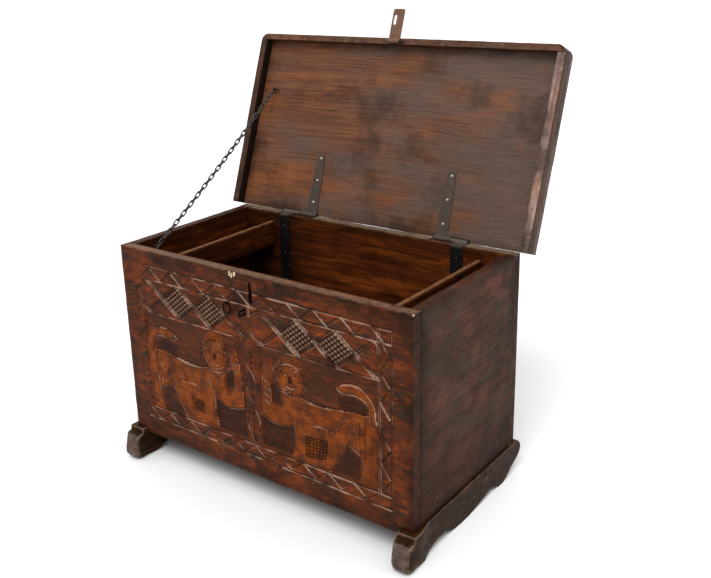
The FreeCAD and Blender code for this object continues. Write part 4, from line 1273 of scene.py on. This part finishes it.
def case_boards(front_wood):
    """The carved front, the back, the ends, the floor and the tills."""
    end_wood = end_pine("dull_end_pine", "Y")
    rear_wood = end_pine("dull_rear_pine", "X")
    back_wood = inner_pine("bare_back_pine", "X", "#36180A", "#5C2B10", "#7A3B13", left_shade=0.7)
    till_wood = inner_pine("bare_till_pine", "Y", "#2A1107", "#4C220C", "#6A3210", left_shade=0.0)
    front = cover(carved_front(), [front_wood, back_wood], "case", "front_wood", "front_board")
    line_inside(front, 1, FRONT_HIGH.y - FACE_MARGIN, 1)
    rooms = hinge_rooms(BACK_LOW.y)
    back = worn_board("worn_back_board", "back_board", holes=rooms)
    mark(back, "rubbed", 0.6 * rim_of(back, RIM))
    cover(back, [rear_wood, back_wood], "case", "case_wood", "back_board")
    line_inside(back, 1, BACK_LOW.y + FACE_MARGIN, -1)
    drop(rooms)
    for node, side in (("left_end_board", 1), ("right_end_board", -1)):
        low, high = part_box(node)
        inner = high.x if side > 0 else low.x
        end = cover(worn_board("worn_" + node, node), [end_wood, till_wood], "case", "case_wood", node)
        line_inside(end, 0, inner - side * FACE_MARGIN, side)
    for node in ("bottom_plank_1", "bottom_plank_2", "bottom_plank_3"):
        plank = worn_board("worn_" + node, node, cell=FLOOR_CELL, bite=1 * MM)
        cover(plank, [back_wood], "case", "inner_wood", node)
    for node in ("left_till_side", "left_till_floor", "right_till_side", "right_till_floor"):
        till = worn_board("worn_" + node, node, rounding=1.5 * MM, bite=1.5 * MM, wave=1.0 * MM)
        if node.endswith("side"):
            mark(till, "rubbed", 0.7 * rim_of(till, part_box(node)[1].z))
        cover(till, [till_wood], "case", "inner_wood", node)


def lid_boards():
    """The lid and its three lips: the left one darkened inside with painted shade, the right one pale
    underneath with a painted grey sheen.
    """
    lid_wood = lid_pine()
    front_wood = lip_pine("dark_front_lip_pine", "X", "#3A1E12", "#58301C", "#70381A", "#8A6850")
    side_wood = lip_pine("dark_side_lip_pine", "Y", "#38200F", "#54321E", "#6A3C20", "#8A6A52")
    # The right lip's underside: pale, with a painted grey sheen
    pale_sheen_wood = lip_pine("pale_sheen_right_lip_pine", "Y", "#6E544A", "#AC9188", "#A87250", "#DAD2D0")
    # The left lip's inner side: painted shade, nearly black
    shaded_lip_wood = lip_pine("painted_shade_left_lip_pine", "Y", "#140B07", "#20130C", "#2A190F", "#3C2A1E")
    rooms = hinge_rooms()
    lid = worn_board("worn_lid_board", "lid_board", holes=rooms, on_lid=True)
    cover(lid, [lid_wood], "lid", "lid_wood", "lid_board")
    drop(rooms)
    front = worn_board("worn_front_lip", "front_lip", on_lid=True)
    cover(front, [front_wood], "lid", "lid_wood", "front_lip")
    left = worn_board("worn_left_lip", "left_lip", on_lid=True)
    cover(left, [side_wood, shaded_lip_wood], "lid", "lid_wood", "left_lip")
    line_inside(left, 0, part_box("left_lip")[1].x - FACE_MARGIN, 1)
    right = worn_board("worn_right_lip", "right_lip", on_lid=True)
    cover(right, [side_wood, pale_sheen_wood], "lid", "lid_wood", "right_lip")
    line_under(right)


def irons():
    """The straps, the hasp and the chain."""
    lid_iron = forged_iron("dull_strap_iron", "#3C322C", "#4A372B", 0.3, 0.5)
    # The back straps are much darker than the lid straps: dark iron, and partly painted shade for where they
    # hang inside the chest; rubbed grey above the rim
    back_iron = forged_iron("black_strap_iron", "#151312", "#2C2019", 0.1, 0.5, rubbed_above=RIM - 6 * MM)
    hasp_iron = forged_iron("rusty_hasp_iron", "#4E3E34", "#6E4A32", 0.7, 0.6)
    chain_iron = forged_iron("rubbed_chain_iron", "#3A3632", "#32241B", 0.2, 0.36, metal=0.85)
    for side in ("left", "right"):
        for node, finish, body in (("lid_strap_" + side, lid_iron, "lid"),
                                   ("back_strap_" + side, back_iron, "case")):
            cover(hammered("forged_" + node, node, STRAP_CELL), [finish], body, "iron", node)
    cover(hammered("forged_hasp", "hasp", HASP_CELL), [hasp_iron], "hasp", "rusty_iron", "hasp")
    chain, start, end = hanging_chain()
    chain.data.materials.clear()
    chain.data.materials.append(chain_iron)
    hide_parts("lid_chain")
    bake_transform(chain)


def dress():
    """All the worn pieces, and materials for the small irons and pegs that are shown as they are."""
    front_wood = carved_pine()
    runner_wood = runner_pine()
    iron = forged_iron("black_forged_iron", "#201D1B", "#3E2A1E", 0.1, 0.4)
    sooty = forged_iron("sooty_ring_iron", "#141210", "#1E1612", 0.1, 0.5, metal=1.0)
    nail_iron = forged_iron("rubbed_nail_iron", "#B0A490", "#8A7A66", 0.3, 0.4)
    rust = forged_iron("rusty_floor_nail_iron", "#33261E", "#3A281D", 0.8, 0.7, metal=0.2)
    case_boards(front_wood)
    for node in ("left_runner", "right_runner"):
        cover(worn_runner("worn_" + node, node), [runner_wood], "case", "runner_wood", node)
    lid_boards()
    irons()
    finishes = {"corner_pegs": front_wood, "runner_dowels": runner_wood, "lid_strap_nails": nail_iron,
                "floor_nails": rust, "front_ring": sooty, "ring_eye": sooty, "lock_staple": sooty}
    for name, node in frame["nodes"].items():
        if not node.hide_render:
            node.data.materials.clear()
            node.data.materials.append(finishes.get(name, iron))


bpy.context.scene.view_settings.view_transform = "Standard"
build_camera()
build_stage()
soft_sun("key", place=(0.3, -1.0, 1.5), power=1.8, spread=28)
soft_sun("top", place=(0.1, -0.1, 1.0), power=2.0, spread=115)
soft_sun("fill", place=(-1.0, -0.9, 0.7), power=0.3, spread=90)
soft_sun("rear", place=(0.4, 1.0, 0.9), power=0.35, spread=90)
dress()
